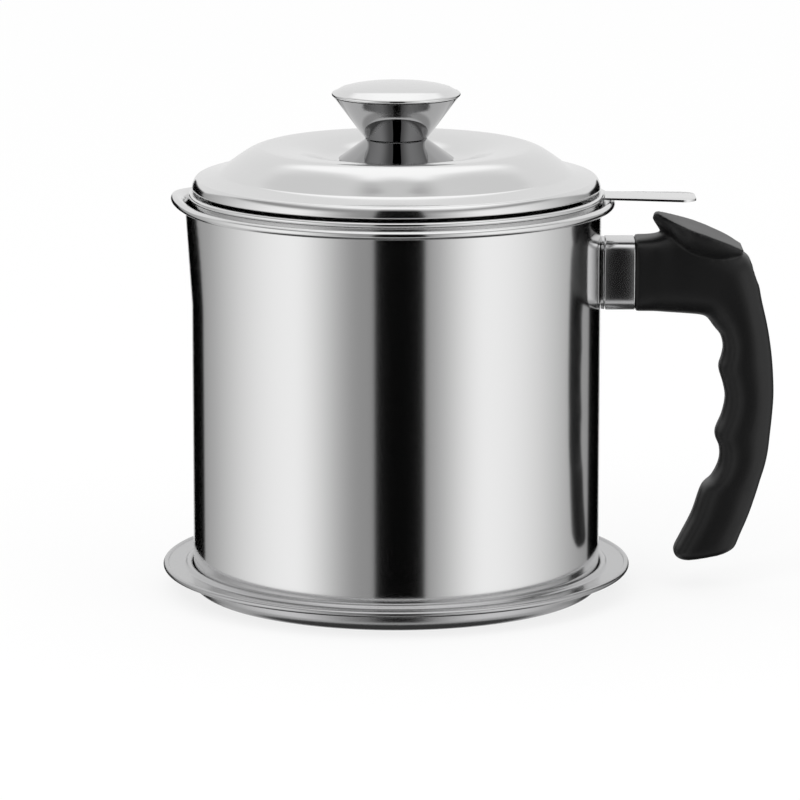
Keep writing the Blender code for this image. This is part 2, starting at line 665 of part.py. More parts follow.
def tab_loops():
    """Strips across the tab: a root on the strainer's neck, and a plate over the pot's lip."""
    under = TAB_UNDERSIDE
    over = under + TAB_SHEET
    root = STRAINER_NECK_RADIUS + GAP
    out = root + TAB_ROOT_SHEET
    clear = root + STRAINER_BEAD_PROUD
    foot = under - TAB_ROOT_DROP
    hugging = ((root, foot), (out, foot), (out, under))
    leaning = ((clear, over), (root, under - TAB_SHEET / 8))
    end = out + TAB_REACH
    loops = []
    for i in range(TAB_STRIPS + 1):
        across = 2 * i / TAB_STRIPS - 1
        y_root = TAB_ROOT_WIDTH / 2 * across
        y_end = TAB_END_WIDTH / 2 * across
        inset = max(0, abs(y_end) - (TAB_END_WIDTH / 2 - TAB_CORNER))
        tip = end - TAB_CORNER + math.sqrt(max(0, TAB_CORNER**2 - inset**2))
        tip = max(tip, end - TAB_CORNER)
        loop = [(math.sqrt(r**2 - y_root**2), y_root, z) for r, z in hugging]
        loop += [(tip, y_end, under - TAB_FALL), (tip, y_end, over - TAB_FALL)]
        loop += [(math.sqrt(r**2 - y_root**2), y_root, z) for r, z in leaning]
        loops.append(loop)
    return loops


def make_strainer(pot):
    """The strainer lifts out of the pot. Its empty is on the axis, in the plane of the pot's lip."""
    strainer = add_empty("strainer_lift", pot, (0, 0, POT_HEIGHT))
    add_piece("strainer_basket", spin_section(strainer_section(), RING_STEPS), STEEL, strainer)
    make_strainer_mesh(strainer)
    add_piece("strainer_tab", loft_loops(tab_loops()), STEEL, strainer)
    return strainer


def lid_section():
    seat = (LID_SEAT_RADIUS, LID_SEAT_HEIGHT)
    crown = (LID_CROWN_RADIUS, LID_CROWN_HEIGHT)
    fold = (LID_BREAK_RADIUS, LID_BREAK_HEIGHT)
    brim = (LID_BRIM_RADIUS, LID_BRIM_HEIGHT)
    edge = (LID_RADIUS, 0)
    rising = stretch(seat, crown, [(r, 1 - z) for r, z in DISH_SHARES])
    top = [(SCREW_HOLE_RADIUS, LID_SEAT_HEIGHT), seat, *rising, crown]
    top += [*stretch(crown, fold, CROWN_SHARES), fold]
    top += [*stretch(fold, brim, BRIM_SHARES), brim]
    under = offset_down(top, LID_SHEET)
    under[0] = (SCREW_HOLE_RADIUS, LID_SEAT_HEIGHT - LID_SHEET)
    bead = arc((LID_BEAD_CENTRE, 0), LID_BEAD_RADIUS, 0, LID_BEAD_CLOSING_ANGLE, 6)
    return top + stretch(brim, edge, EDGE_SHARES) + bead + under[::-1]


def make_knob(lid):
    """Two spun cones clamped waist to waist by a threaded core, with a domed cap on top."""
    knob = add_empty("knob_axis", lid, (0, 0, LID_SEAT_HEIGHT))
    hole = CORE_RADIUS + GAP
    lean = KNOB_SHEET / math.cos(math.atan2(SKIRT_HEIGHT, SKIRT_RADIUS - WAIST_RADIUS))
    skirt = [
        (hole, SKIRT_HEIGHT),
        (WAIST_RADIUS, SKIRT_HEIGHT),
        (SKIRT_RADIUS, KNOB_SHEET / 2),
        (SKIRT_RADIUS - KNOB_SHEET / 4, 0),
        (SKIRT_RADIUS - lean, 0),
        (WAIST_RADIUS - KNOB_SHEET / 2, SKIRT_HEIGHT - KNOB_SHEET),
        (hole, SKIRT_HEIGHT - KNOB_SHEET),
    ]
    add_piece("knob_skirt", spin_section(skirt, SMALL_STEPS), DARK_STEEL, knob, (0, 0, GAP))
    waist = SKIRT_HEIGHT + 2 * GAP
    wall = KNOB_SHEET / math.cos(math.atan2(CONE_RADIUS - WAIST_RADIUS, CONE_HEIGHT))
    cone = [
        (hole, 0),
        (WAIST_RADIUS, 0),
        (CONE_RADIUS, CONE_HEIGHT),
        (CONE_RADIUS - wall, CONE_HEIGHT),
        (WAIST_RADIUS - wall / 2, KNOB_SHEET),
        (hole, KNOB_SHEET),
    ]
    add_piece("knob_cone", spin_section(cone, SMALL_STEPS), DARK_STEEL, knob, (0, 0, waist))
    make_knob_cap(knob, waist + CONE_HEIGHT + GAP)
    make_knob_fixing(knob, waist + KNOB_SHEET + GAP)


def make_knob_cap(knob, seat):
    """The cap's edge is rolled, and its flat underside rests on the cone's rim."""
    shoulder = (CAP_RADIUS - CAP_EDGE / 2, CAP_EDGE)
    peak = (0, CAP_EDGE + CAP_RISE)
    dome = [(shoulder[0] * r, CAP_EDGE + CAP_RISE * z) for r, z in CAP_DOME_SHARES]
    edge = arc((CAP_RADIUS - CAP_EDGE / 2, CAP_EDGE / 2), CAP_EDGE / 2, 90, -90, 4)
    inner = CONE_RADIUS - KNOB_SHEET
    hollow = [(inner * r, KNOB_SHEET + CAP_RISE * z) for r, z in CAP_DOME_SHARES[::-1]]
    section = [peak, *dome, *edge, (inner, 0), *hollow, (0, KNOB_SHEET + CAP_RISE)]
    add_piece("knob_cap", spin_section(section, SMALL_STEPS), STEEL, knob, (0, 0, seat))


def make_knob_fixing(knob, flange):
    """The core on the lid that clamps both cones, and the screw that holds it from below."""
    top = flange + CORE_FLANGE_HEIGHT
    core = [
        (0, top),
        (CORE_FLANGE_RADIUS, top),
        (CORE_FLANGE_RADIUS, flange),
        (CORE_RADIUS, flange),
        (CORE_RADIUS, GAP),
        (SCREW_HOLE_RADIUS, GAP),
        (SCREW_HOLE_RADIUS, flange),
        (0, flange),
    ]
    add_piece("knob_core", spin_section(core, SMALL_STEPS), SATIN_STEEL, knob)
    under = -LID_SHEET - GAP
    washer = washer_section(SCREW_HOLE_RADIUS, KNOB_WASHER_RADIUS)
    place = (0, 0, under - WASHER_SHEET)
    add_piece("knob_washer", spin_section(washer, SMALL_STEPS), SATIN_STEEL, knob, place)
    screw = screw_section(KNOB_SCREW_RADIUS, KNOB_SCREW_LENGTH, KNOB_HEAD_RADIUS, KNOB_HEAD_HEIGHT)
    place = (0, 0, under - WASHER_SHEET - GAP)
    add_piece(
        "knob_screw", spin_section(screw, SMALL_STEPS), SATIN_STEEL, knob, place, (math.pi, 0, 0)
    )


def make_lid(strainer):
    """The lid lifts off. Its empty is on the axis, at the height of its curled edge."""
    lid = add_empty("lid_lift", strainer, (0, 0, LID_RISE))
    add_piece("lid_shell", spin_section(lid_section(), RING_STEPS), STEEL, lid)
    make_knob(lid)


def main():
    clear_scene()
    make_tray()
    pot = make_pot()
    make_handle(pot)
    make_lid(make_strainer(pot))


main()
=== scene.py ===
"""Looks of the bacon grease container: fine meshes, finishes and a plain studio.

Metres, +Z up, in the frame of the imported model: the origin is on the pot's axis at the tray's
underside, the handle points along +X and the spout along -X. Each operator adds one group of
pieces, in place of the coarse solids that they stand for.
"""
import math

import bmesh
import bpy
from bpy.props import FloatProperty, FloatVectorProperty, PointerProperty
from mathutils import Matrix, Vector


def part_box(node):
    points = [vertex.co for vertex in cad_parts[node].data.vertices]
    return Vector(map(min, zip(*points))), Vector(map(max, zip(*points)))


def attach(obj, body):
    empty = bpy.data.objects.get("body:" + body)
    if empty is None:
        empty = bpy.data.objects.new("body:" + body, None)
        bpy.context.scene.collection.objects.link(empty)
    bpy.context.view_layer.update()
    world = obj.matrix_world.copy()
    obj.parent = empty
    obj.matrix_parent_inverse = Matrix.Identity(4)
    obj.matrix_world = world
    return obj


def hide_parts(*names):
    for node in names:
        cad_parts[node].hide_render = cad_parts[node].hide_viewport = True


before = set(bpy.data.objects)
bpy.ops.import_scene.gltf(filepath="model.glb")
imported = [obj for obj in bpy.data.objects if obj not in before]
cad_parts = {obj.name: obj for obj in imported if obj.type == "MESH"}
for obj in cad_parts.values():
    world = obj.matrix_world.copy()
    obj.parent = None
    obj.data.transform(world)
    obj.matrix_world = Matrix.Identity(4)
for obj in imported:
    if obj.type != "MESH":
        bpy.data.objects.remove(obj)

bl_info = {
    "name": "Bacon Grease Container",
    "version": (1, 0, 0),
    "blender": (4, 5, 0),
    "location": "3D View > Sidebar > Grease Pot",
    "description": "Adds a steel grease pot with its tray, strainer, lid, handle and studio",
    "category": "Add Mesh",
}

MM = 0.001
GAP = 0.3 * MM
WELD = 0.001 * MM
OVERRUN = 3.0 * MM
RING_STEPS = 256
KNOB_STEPS = 128
SMALL_STEPS = 48
HANDLE_SIDES = 72
THUMB_SIDES = 28
SPOUT_RINGS = 8
TAB_STRIPS = 24
FERRULE_POWER = 5.0
RING_WIDTH = 6.2 * MM
ROW_STEPS = 5
THUMB_ROW_STEPS = 4
HEM_TURN = (150, -150)
LIP_CURL_END = -150
RIM_TURN = (-55, 265)
LID_CURL_TURN = (0, -215)
HEAD_SHARE = 0.7
HEAD_EDGE_SHARE = 0.35
RECESS_LENGTH = 1.1
RECESS_WIDTH = 0.24
RECESS_TAPER = 0.55
RECESS_TOP = 1.2
RECESS_FLOOR = 0.45
SKIN_EASE = 0.5
SKIN_ROUNDS = 6
LONG_RUN = 2.5 * MM
HOLD = 0.2 * MM
SHARP_ANGLE = math.radians(35)
KNOB_SHARP_ANGLE = math.radians(28)
GRIP_SPECULAR = 0.4
GRIP_SMUDGE = 0.08
FLOOR_ROUGHNESS = 0.9
SENSOR_WIDTH = 36.0
VIEW_NEAR = 0.1
VIEW_FAR = 50.0

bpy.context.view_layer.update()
TRAY_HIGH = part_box("tray")[1]
POT_LOW, POT_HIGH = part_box("pot_body")
FERRULE_LOW, FERRULE_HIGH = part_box("handle_ferrule")
GRIP_LOW, GRIP_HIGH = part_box("handle_grip")
SCREW_LOW, SCREW_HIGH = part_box("handle_screw")
BASKET_LOW, BASKET_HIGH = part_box("strainer_basket")
MESH_LOW, MESH_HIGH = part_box("strainer_mesh")
RING_LOW, RING_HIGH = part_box("strainer_mesh_ring")
TAB_LOW, TAB_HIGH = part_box("strainer_tab")
LID_LOW, LID_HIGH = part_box("lid_shell")
SKIRT_LOW, SKIRT_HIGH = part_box("knob_skirt")
CONE_LOW, CONE_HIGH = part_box("knob_cone")
CAP_LOW, CAP_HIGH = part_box("knob_cap")
KNOB_SCREW_LOW, KNOB_SCREW_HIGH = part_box("knob_screw")
HANDLE_Z = (FERRULE_LOW.z + FERRULE_HIGH.z) / 2

# Inner x and z, outer x and z, half width and squareness of the grip's sections, from the
# ferrule to the foot, as shares of the grip's reach, drop and half width
GRIP_SHARES = (
    (0.0, -0.125, 0.0, 0.125, 0.9, 5.0),
    (0.127, -0.129, 0.137, 0.132, 0.89, 3.4),
    (0.243, -0.133, 0.296, 0.153, 0.94, 3.2),
    (0.359, -0.137, 0.455, 0.135, 0.97, 3.0),
    (0.455, -0.141, 0.592, 0.107, 0.99, 2.9),
    (0.503, -0.148, 0.722, 0.083, 0.99, 2.8),
    (0.531, -0.162, 0.814, 0.054, 0.99, 2.7),
    (0.567, -0.186, 0.875, -0.019, 0.99, 2.6),
    (0.613, -0.214, 0.905, -0.090, 0.99, 2.6),
    (0.634, -0.256, 0.945, -0.172, 0.99, 2.5),
    (0.622, -0.294, 0.968, -0.232, 0.99, 2.5),
    (0.603, -0.330, 0.985, -0.293, 0.99, 2.5),
    (0.636, -0.385, 0.996, -0.359, 0.98, 2.5),
    (0.653, -0.435, 1.000, -0.425, 0.97, 2.5),
    (0.630, -0.494, 0.992, -0.491, 0.97, 2.5),
    (0.581, -0.557, 0.979, -0.559, 0.96, 2.5),
    (0.615, -0.608, 0.966, -0.618, 0.95, 2.5),
    (0.613, -0.659, 0.945, -0.669, 0.94, 2.5),
    (0.560, -0.714, 0.913, -0.720, 0.92, 2.6),
    (0.488, -0.750, 0.886, -0.765, 0.90, 2.7),
    (0.423, -0.842, 0.833, -0.842, 0.89, 2.8),
    (0.342, -0.921, 0.772, -0.913, 0.87, 2.9),
    (0.296, -0.968, 0.744, -0.947, 0.85, 3.0),
    (0.311, -0.991, 0.725, -0.959, 0.81, 3.0),
    (0.353, -1.000, 0.679, -0.972, 0.71, 3.0),
)
# Place along the thumb rest, half width, the top's fall at the rounded nose, and depth
THUMB_SHARES = (
    (0.0, 0.14, 0.07, 0.21),
    (0.015, 0.20, 0.012, 0.27),
    (0.07, 0.42, 0.0, 0.38),
    (0.13, 0.58, 0.0, 0.50),
    (0.26, 0.84, -0.01, 0.72),
    (0.41, 1.0, -0.03, 0.90),
    (0.54, 1.0, -0.05, 1.0),
    (0.69, 0.95, -0.05, 1.0),
    (0.84, 0.84, -0.04, 0.85),
    (0.96, 0.66, 0.0, 0.50),
    (1.0, 0.58, 0.0, 0.28),
)
# Radius and height along each stretch of the lid, from its inner end to its outer end
DISH_SHARES = ((0.15, 0.12), (0.38, 0.55), (0.66, 0.87))
CROWN_SHARES = ((0.18, 0.955), (0.36, 0.82), (0.55, 0.6), (0.75, 0.33), (0.92, 0.09))
BRIM_SHARES = ((0.5, 0.46),)
EDGE_SHARES = ((0.4, 0.94), (0.62, 0.8), (0.82, 0.54), (0.97, 0.2))
CAP_DOME_SHARES = ((0.2, 0.98), (0.35, 0.93), (0.5, 0.84), (0.65, 0.72), (0.78, 0.57), (0.88, 0.4))

# Where the room's parts stand round the pot, in degrees. Azimuth 0 is in front and +X is to the
# right. What stands behind is the same on both sides.
BOX_LEFT = -60
BOX_RIGHT = 52
BOX_INNER_FALL = 42
BOX_OUTER_FALL = 92
BOX_TOP = (22, 36)
FRONT_FLAG = (-12, 16)
BACK_FLAG = (139, 166)
FLAG_EDGES = (0.15, 0.15)
# Where the ceiling's edge comes down to the backdrop behind, and its rise in front and behind
BACKDROP_TURN = (95, 140)
CEILING_RISE = (40, 73)
BACKDROP_RISE = (4, 8)
BACKDROP_TOP = (35, 45)
# The edge's fall to the right, and the shares left there and taken from two dimmer places above
RIGHT_TURN = (0, 50)
RIGHT_SHARE = 0.82
DIM_SIDE = (112, 148)
DIM_SIDE_EDGES = (12, 10)
DIM_SIDE_SHARE = 0.38
LIGHT_GAP = (76, 86.5)
LIGHT_GAP_EDGES = (4, 1.5)
LIGHT_GAP_TURN = (100, 140)
LIGHT_GAP_SHARE = 0.45
WORKTOP_EDGE = (-34, -29)
POT_SHADE_EDGE = (-52, -46)
POT_SHADE = 0.1
# Name, place, side and power of each lamp
LAMPS = (
    ("key_lamp", (-0.9, -1.1, 1.5), 0.9, 6.0),
    ("fill_lamp", (1.2, -0.9, 1.1), 0.9, 2.5),
)


def length(name, description, default):
    """A size in metres that a user can set."""
    return FloatProperty(
        name=name, description=description, default=default, min=0, precision=5, unit="LENGTH"
    )


def number(name, description, default, unit="NONE"):
    return FloatProperty(name=name, description=description, default=default, unit=unit)


def share(name, description, default):
    """A number from none to all."""
    return FloatProperty(
        name=name, description=description, default=default, min=0, max=1, subtype="FACTOR"
    )


def turn(name, description, default):
    """An angle that is given here in degrees."""
    return FloatProperty(
        name=name, description=description, default=math.radians(default), subtype="ANGLE"
    )


def colour(name, description, default):
    return FloatVectorProperty(
        name=name, description=description, default=default, size=3, min=0, max=1, subtype="COLOR"
    )


class TraySizes(bpy.types.PropertyGroup):
    radius: length("Radius", "Outer radius of the hemmed flange", TRAY_HIGH.y)
    sheet: length("Sheet", "Thickness of the pressed sheet", 0.6 * MM)
    flange_height: length("Flange height", "Height of the flange's top face", 8.4 * MM)
    crest_height: length("Crest height", "Top of the crest beside the pot", TRAY_HIGH.z)
    crest_radius: length("Crest radius", "Outer radius of the rounded crest", 1.2 * MM)
    crest_width: length("Crest width", "From the well's wall to the flange", 3.0 * MM)
    hem_radius: length("Hem radius", "Radius of the folded outer edge", 1.0 * MM)


class PotSizes(bpy.types.PropertyGroup):
    radius: length("Wall radius", "Outer radius of the straight wall", 69.0 * MM)
    sheet: length("Sheet", "Thickness of the drawn wall", 0.6 * MM)
    corner: length("Corner", "Radius where the wall meets the floor", 3.0 * MM)
    height: length("Lip height", "Centre of the curled lip over the underside", 131.1 * MM)
    lip_radius: length("Lip radius", "Outer radius of the curled lip", POT_HIGH.y)
    curl_radius: length("Curl radius", "Radius of the lip's curl", 1.4 * MM)
    flare: turn("Flare", "How far the wall's top leans out", 75)
    wall_gap: length("Wall gap", "From the straight wall's top to the curl's centre", 1.8 * MM)
    spout_drop: length("Spout drop", "How far the spout reaches down the wall", 34.0 * MM)
    spout_reach: length("Spout reach", "How far the spout is drawn out", 2.2 * MM)
    spout_lift: length("Spout lift", "How far the spout is drawn up", 1.5 * MM)
    spout_half_angle: turn("Spout half angle", "Half of the spout's width round the lip", 25)


class HandleSizes(bpy.types.PropertyGroup):
    pad_inset: length("Pad inset", "From the ferrule's outline to the saddle's", 0.2 * MM)
    pad_sheet: length("Pad sheet", "Thickness of the pressed saddle", 1.0 * MM)
    ferrule_wall: length("Ferrule wall", "Thickness of the ferrule", 0.8 * MM)
    ferrule_edge: length("Ferrule edge", "Rounding of the ferrule's rims", 0.35 * MM)
    grip_half_width: length("Grip half width", "Half of the grip's widest section", 11.5 * MM)
    spigot_length: length("Spigot", "Length of the grip's spigot in the ferrule", 3.0 * MM)
    voxel: length("Skin detail", "Size of the faces on the moulded skin", 0.55 * MM)
    bore_radius: length("Counterbore", "Radius of the recess for the screw's head", 4.5 * MM)
    bore_seat: length("Counterbore seat", "Seat of the washer, from the wall", 29.0 * MM)
    screw_radius: length("Screw radius", "Radius of the screw's shank", 2.0 * MM)
    thumb_start_x: length("Thumb start", "Start of the thumb rest past the ferrule", 6.67 * MM)
    thumb_start_z: length("Thumb height", "Start of the thumb rest over the axis", 20.92 * MM)
    thumb_slope: turn("Thumb slope", "Fall of the thumb rest", 22.2)
    thumb_length: length("Thumb length", "Length of the thumb rest", 31.9 * MM)
    thumb_half_width: length("Thumb half width", "Half of the thumb rest's width", 14.2 * MM)
    thumb_depth: length("Thumb depth", "Depth of the belly under the thumb rest", 11.0 * MM)


class StrainerSizes(bpy.types.PropertyGroup):
    sheet: length("Sheet", "Thickness of the basket's wall", 0.5 * MM)
    play: length("Play", "From the pot's wall to the basket's wall", 1.4 * MM)
    corner: length("Corner", "Radius where the basket's wall meets its floor", 3.0 * MM)
    floor_width: length("Floor width", "Width of the floor's flange", 9.0 * MM)
    neck: length("Neck", "Height of the step below the seat", 1.7 * MM)
    bead_radius: length("Bead radius", "Radius of the rolled rim", 0.95 * MM)
    seat_low: turn("Seat start", "Where the shoulder meets the pot's flare", 12)
    seat_high: turn("Seat end", "Where the shoulder leaves the pot's flare", 24)
    wire_pitch: length("Wire pitch", "Distance between the woven wires", 1.9 * MM)
    wire_radius: length("Wire radius", "Radius of one woven wire", 0.14 * MM)
    tab_sheet: length("Tab sheet", "Thickness of the lifting tab", 0.8 * MM)
    tab_root_sheet: length("Tab root sheet", "Thickness of the welded root", 0.5 * MM)
    tab_root_drop: length("Tab root drop", "Depth of the root below the plate", 1.7 * MM)
    tab_root_width: length("Tab root width", "Width at the strainer", 15.0 * MM)
    tab_corner: length("Tab corner", "Radius of the tab's outer corners", 5.0 * MM)
    tab_fall: length("Tab fall", "How far the tab's end hangs lower", 0.5 * MM)


class LidSizes(bpy.types.PropertyGroup):
    sheet: length("Sheet", "Thickness of the pressed lid", 0.6 * MM)
    edge_drop: length("Edge drop", "From the reference height to the lid's foot", 1.45 * MM)
    curl_radius: length("Curl radius", "Radius of the curled edge", 0.75 * MM)
    edge_height: length("Edge height", "Curl's centre over the reference height", 0.4 * MM)
    seat_radius: length("Seat radius", "Flat seat under the knob", 20.0 * MM)
    seat_height: length("Seat height", "Seat over the curled edge's centre", 9.3 * MM)
    crown_radius: length("Crown radius", "Radius of the highest ring", 44.0 * MM)
    crown_height: length("Crown height", "Highest ring over the edge's centre", 13.9 * MM)
    break_radius: length("Break radius", "Radius of the line round the brim", 60.0 * MM)
    break_height: length("Break height", "That line over the edge's centre", 5.4 * MM)
    brim_radius: length("Brim radius", "Where the brim turns down", 65.9 * MM)
    brim_height: length("Brim height", "That turn over the edge's centre", 3.9 * MM)
    hole_radius: length("Hole radius", "Hole for the knob's screw", 2.8 * MM)


class KnobSizes(bpy.types.PropertyGroup):
    sheet: length("Sheet", "Thickness of the spun cones", 0.8 * MM)
    waist_radius: length("Waist radius", "Where the two cones meet", 10.7 * MM)
    core_radius: length("Core radius", "Radius of the threaded core", 6.0 * MM)
    cap_edge: length("Cap edge", "Thickness of the cap's rolled edge", 1.3 * MM)
    cap_rise: length("Cap rise", "Rise of the cap's dome", 3.5 * MM)


class FinishSettings(bpy.types.PropertyGroup):
    steel: colour("Polished steel", "Reflection colour of polished steel", (0.84, 0.84, 0.845))
    # The tray's colour is set darker than the polished steel: painted shade where the pot shades the
    # tray.
    tray: colour("Tray steel", "Reflection colour of the tray", (0.52, 0.52, 0.525))
    # The knob's cones get a dimmed copy of polished steel: painted shade on the cones.
    knob: colour("Knob steel", "Reflection colour of the knob's cones", (0.38, 0.38, 0.383))
    satin: colour("Satin steel", "Reflection colour of satin steel", (0.66, 0.66, 0.665))
    wire: colour("Wire", "Reflection colour of the woven wire", (0.55, 0.55, 0.55))
    phenolic: colour("Black phenolic", "Colour of the moulded grip", (0.004, 0.004, 0.0042))
    polish: share("Polish", "Roughness of polished steel", 0.008)
    satin_roughness: share("Satin roughness", "Roughness of satin steel", 0.27)
    grip_roughness: share("Grip roughness", "Roughness of the moulded grip", 0.4)


class StudioSettings(bpy.types.PropertyGroup):
    camera_x: number("Camera X", "Camera's place across", -0.49 * MM, "LENGTH")
    camera_distance: length("Camera distance", "Camera in front of the pot's axis", 1.633)
    camera_height: length("Camera height", "Camera over the worktop", 0.385)
    camera_pitch: turn("Camera pitch", "How far the camera looks down", 11.12)
    lens: number("Lens", "Focal length", 220.9, "CAMERA")
    shift: number("Shift", "Sideways framing of the view", 0.0066)
    floor_size: length("Floor size", "Side of the pale floor", 12.0)
    floor_colour: colour("Floor colour", "Colour of the pale floor", (0.93, 0.93, 0.93))
    floor_shine: share("Floor shine", "Share of the floor that shines white", 0.8)
    box_level: number("Softbox level", "Light of a softbox", 0.72)
    room_level: number("Room level", "Light of the walls", 0.33)
    back_level: number("Back level", "Light of the backdrop", 0.84)
    sky_level: number("Ceiling level", "Light from above", 1.18)
    worktop_level: number("Worktop level", "Light from below", 0.6)


def arc(centre, radius, start, end, steps):
    """Points (r, z) on an arc, with both ends, from start to end in degrees."""
    angles = (math.radians(start + (end - start) * i / steps) for i in range(steps + 1))
    return [(centre[0] + radius * math.cos(a), centre[1] + radius * math.sin(a)) for a in angles]


def stretch(start, end, shares):
    """Points (r, z) between two ends: a share of the radius run, and of the height at the start."""
    return [
        (start[0] + (end[0] - start[0]) * r, end[1] + (start[1] - end[1]) * z)
        for r, z in shares
    ]


def smooth_rows(rows, steps):
    """Rows of numbers with more rows between them, on a curve that passes through them all."""
    smooth = []
    for i in range(len(rows) - 1):
        a, b = rows[max(i - 1, 0)], rows[i]
        c, d = rows[i + 1], rows[min(i + 2, len(rows) - 1)]
        for k in range(steps):
            t = k / steps
            smooth.append(
                tuple(
                    q + 0.5 * t * (r - p + t * (2 * p - 5 * q + 4 * r - s + t * (3 * (q - r) + s - p)))
                    for p, q, r, s in zip(a, b, c, d)
                )
            )
    return [*smooth, tuple(rows[-1])]


def offset_down(path, distance):
    """The path moved to its lower side, each point along the mean normal of its two edges."""
    moved = []
    for i, (r, z) in enumerate(path):
        before = path[max(i - 1, 0)]
        after = path[min(i + 1, len(path) - 1)]
        run = math.hypot(after[0] - before[0], after[1] - before[1])
        moved.append(
            (r + distance * (after[1] - before[1]) / run, z - distance * (after[0] - before[0]) / run)
        )
    return moved


def rounded_loop(half_width, half_height, power, sides):
    """Points (y, z) of a rounded rectangle: power 2 is an ellipse, and more is squarer."""
    points = []
    for i in range(sides):
        c = math.cos(2 * math.pi * i / sides)
        s = math.sin(2 * math.pi * i / sides)
        y = math.copysign(abs(c) ** (2 / power), c)
        z = math.copysign(abs(s) ** (2 / power), s)
        points.append((half_width * y, half_height * z))
    return points


def hold_flats(section, closed):
    """Adds a point close to both ends of each long straight run, so that it is shaded flat."""
    held = []
    ends = section[1:] + section[:1] if closed else section[1:]
    for start, end in zip(section, ends):
        held.append(start)
        run = math.dist(start, end)
        if run > LONG_RUN:
            for part in (HOLD / run, 1 - HOLD / run):
                held.append(tuple(a + (b - a) * part for a, b in zip(start, end)))
    return held if closed else [*held, section[-1]]


def spin_section(section, steps):
    """Turns a section (r, z) about the Z axis. One that starts off the axis is a closed ring."""
    closed = section[0][0] > 0
    bm = bmesh.new()
    points = [bm.verts.new((r, 0, z)) for r, z in hold_flats(section, closed)]
    pairs = list(zip(points, points[1:]))
    if closed:
        pairs.append((points[-1], points[0]))
    edges = [bm.edges.new(pair) for pair in pairs]
    bmesh.ops.spin(
        bm,
        geom=points + edges,
        cent=(0, 0, 0),
        axis=(0, 0, 1),
        angle=2 * math.pi,
        steps=steps,
        use_merge=True,
    )
    bmesh.ops.remove_doubles(bm, verts=bm.verts, dist=WELD)
    return bm


def loft_loops(loops, closed=False):
    """Skins loops of equal length. A closed loft joins its last loop to its first."""
    bm = bmesh.new()
    rows = [[bm.verts.new(point) for point in loop] for loop in loops]
    pairs = list(zip(rows, rows[1:]))
    if closed:
        pairs.append((rows[-1], rows[0]))
    for row, following in pairs:
        for i in range(len(row)):
            j = (i + 1) % len(row)
            bm.faces.new((row[i], row[j], following[j], following[i]))
    if not closed:
        bm.faces.new(rows[0])
        bm.faces.new(reversed(rows[-1]))
    return bm


def add_mesh(name, bm, sharp=SHARP_ANGLE):
    """An object at the origin with this mesh, facing out and shaded smooth."""
    mesh = bpy.data.meshes.new(name)
    bmesh.ops.recalc_face_normals(bm, faces=bm.faces)
    bm.to_mesh(mesh)
    bm.free()
    mesh.shade_smooth()
    mesh.set_sharp_from_angle(angle=sharp)
    obj = bpy.data.objects.new(name, mesh)
    bpy.context.scene.collection.objects.link(obj)
    return obj


def settle(obj, sharp=SHARP_ANGLE):
    """Keeps the evaluated mesh and drops the modifiers."""
    depsgraph = bpy.context.evaluated_depsgraph_get()
    mesh = bpy.data.meshes.new_from_object(obj.evaluated_get(depsgraph))
    obj.modifiers.clear()
    obj.data = mesh
    mesh.name = obj.name
    mesh.shade_smooth()
    mesh.set_sharp_from_angle(angle=sharp)


def combine(piece, operation, helper):
    """Joins a helper to a piece or cuts it away, and removes the helper."""
    modifier = piece.modifiers.new(operation.lower(), "BOOLEAN")
    modifier.operation = operation
    modifier.solver = "EXACT"
    modifier.object = helper
    settle(piece)
    bpy.data.objects.remove(helper)


def coat(obj, finish):
    obj.data.materials.clear()
    obj.data.materials.append(piece_material(finish))


def finish_piece(obj, body, finish, node):
    """Gives a piece its finish, its body, and the node that it stands for."""
    coat(obj, finish)
    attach(obj, body)
    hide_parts(node)


def add_node(tree, kind, **values):
    """A shader node: upper-case keys are its input sockets, and the others its settings."""
    node = tree.nodes.new("ShaderNode" + kind)
    for key, value in values.items():
        if key[0].isupper():
            socket = node.inputs[key.replace("_", " ")]
            if isinstance(value, bpy.types.NodeSocket):
                tree.links.new(value, socket)
            else:
                socket.default_value = value
        else:
            setattr(node, key, value)
    return node


def join_math(tree, operation, *values):
    """A Math node on numbers and sockets."""
    node = tree.nodes.new("ShaderNodeMath")
    node.operation = operation
    for socket, value in zip(node.inputs, values):
        if isinstance(value, bpy.types.NodeSocket):
            tree.links.new(value, socket)
        else:
            socket.default_value = value
    return node.outputs[0]


def map_range(tree, value, low, high, to_low=0.0, to_high=1.0):
    """A smooth step from one level to another."""
    node = add_node(
        tree,
        "MapRange",
        interpolation_type="SMOOTHSTEP",
        From_Min=low,
        From_Max=high,
        To_Min=to_low,
        To_Max=to_high,
    )
    tree.links.new(value, node.inputs["Value"])
    return node.outputs["Result"]


def turn_step(tree, angle, start, end, low=0.0, high=1.0):
    """A smooth step from one level to another between two angles in degrees."""
    return map_range(tree, angle, math.radians(start), math.radians(end), low, high)


def hump(tree, angle, ends, edges):
    """One between two angles, zero outside, and smooth for this far to each side of both."""
    start, end = ends
    rise, fall = edges
    risen = turn_step(tree, angle, start - rise, start + rise)
    fallen = turn_step(tree, angle, end - fall, end + fall)
    return join_math(tree, "SUBTRACT", risen, fallen)


def blend_levels(tree, factor, first, second):
    mix = add_node(tree, "Mix", data_type="FLOAT", Factor=factor, A=first, B=second)
    return mix.outputs["Result"]


def add_noise(tree, place, scale, detail, roughness=0.5):
    node = add_node(
        tree, "TexNoise", Vector=place, Scale=scale, Detail=detail, Roughness=roughness
    )
    return node.outputs["Fac"]


def add_relief(tree, shader, height, strength, depth):
    bump = add_node(tree, "Bump", Strength=strength, Distance=depth, Height=height)
    tree.links.new(bump.outputs["Normal"], shader.inputs["Normal"])


def drift_colour(tree, shader, cloud, tint, low, high=1.0):
    """Lets the base colour drift between two shades of a tint."""
    tone = add_node(tree, "ValToRGB", Fac=cloud)
    for element, shade in zip(tone.color_ramp.elements, (low, high)):
        element.color = (*(c * shade for c in tint), 1)
    tree.links.new(tone.outputs["Color"], shader.inputs["Base Color"])


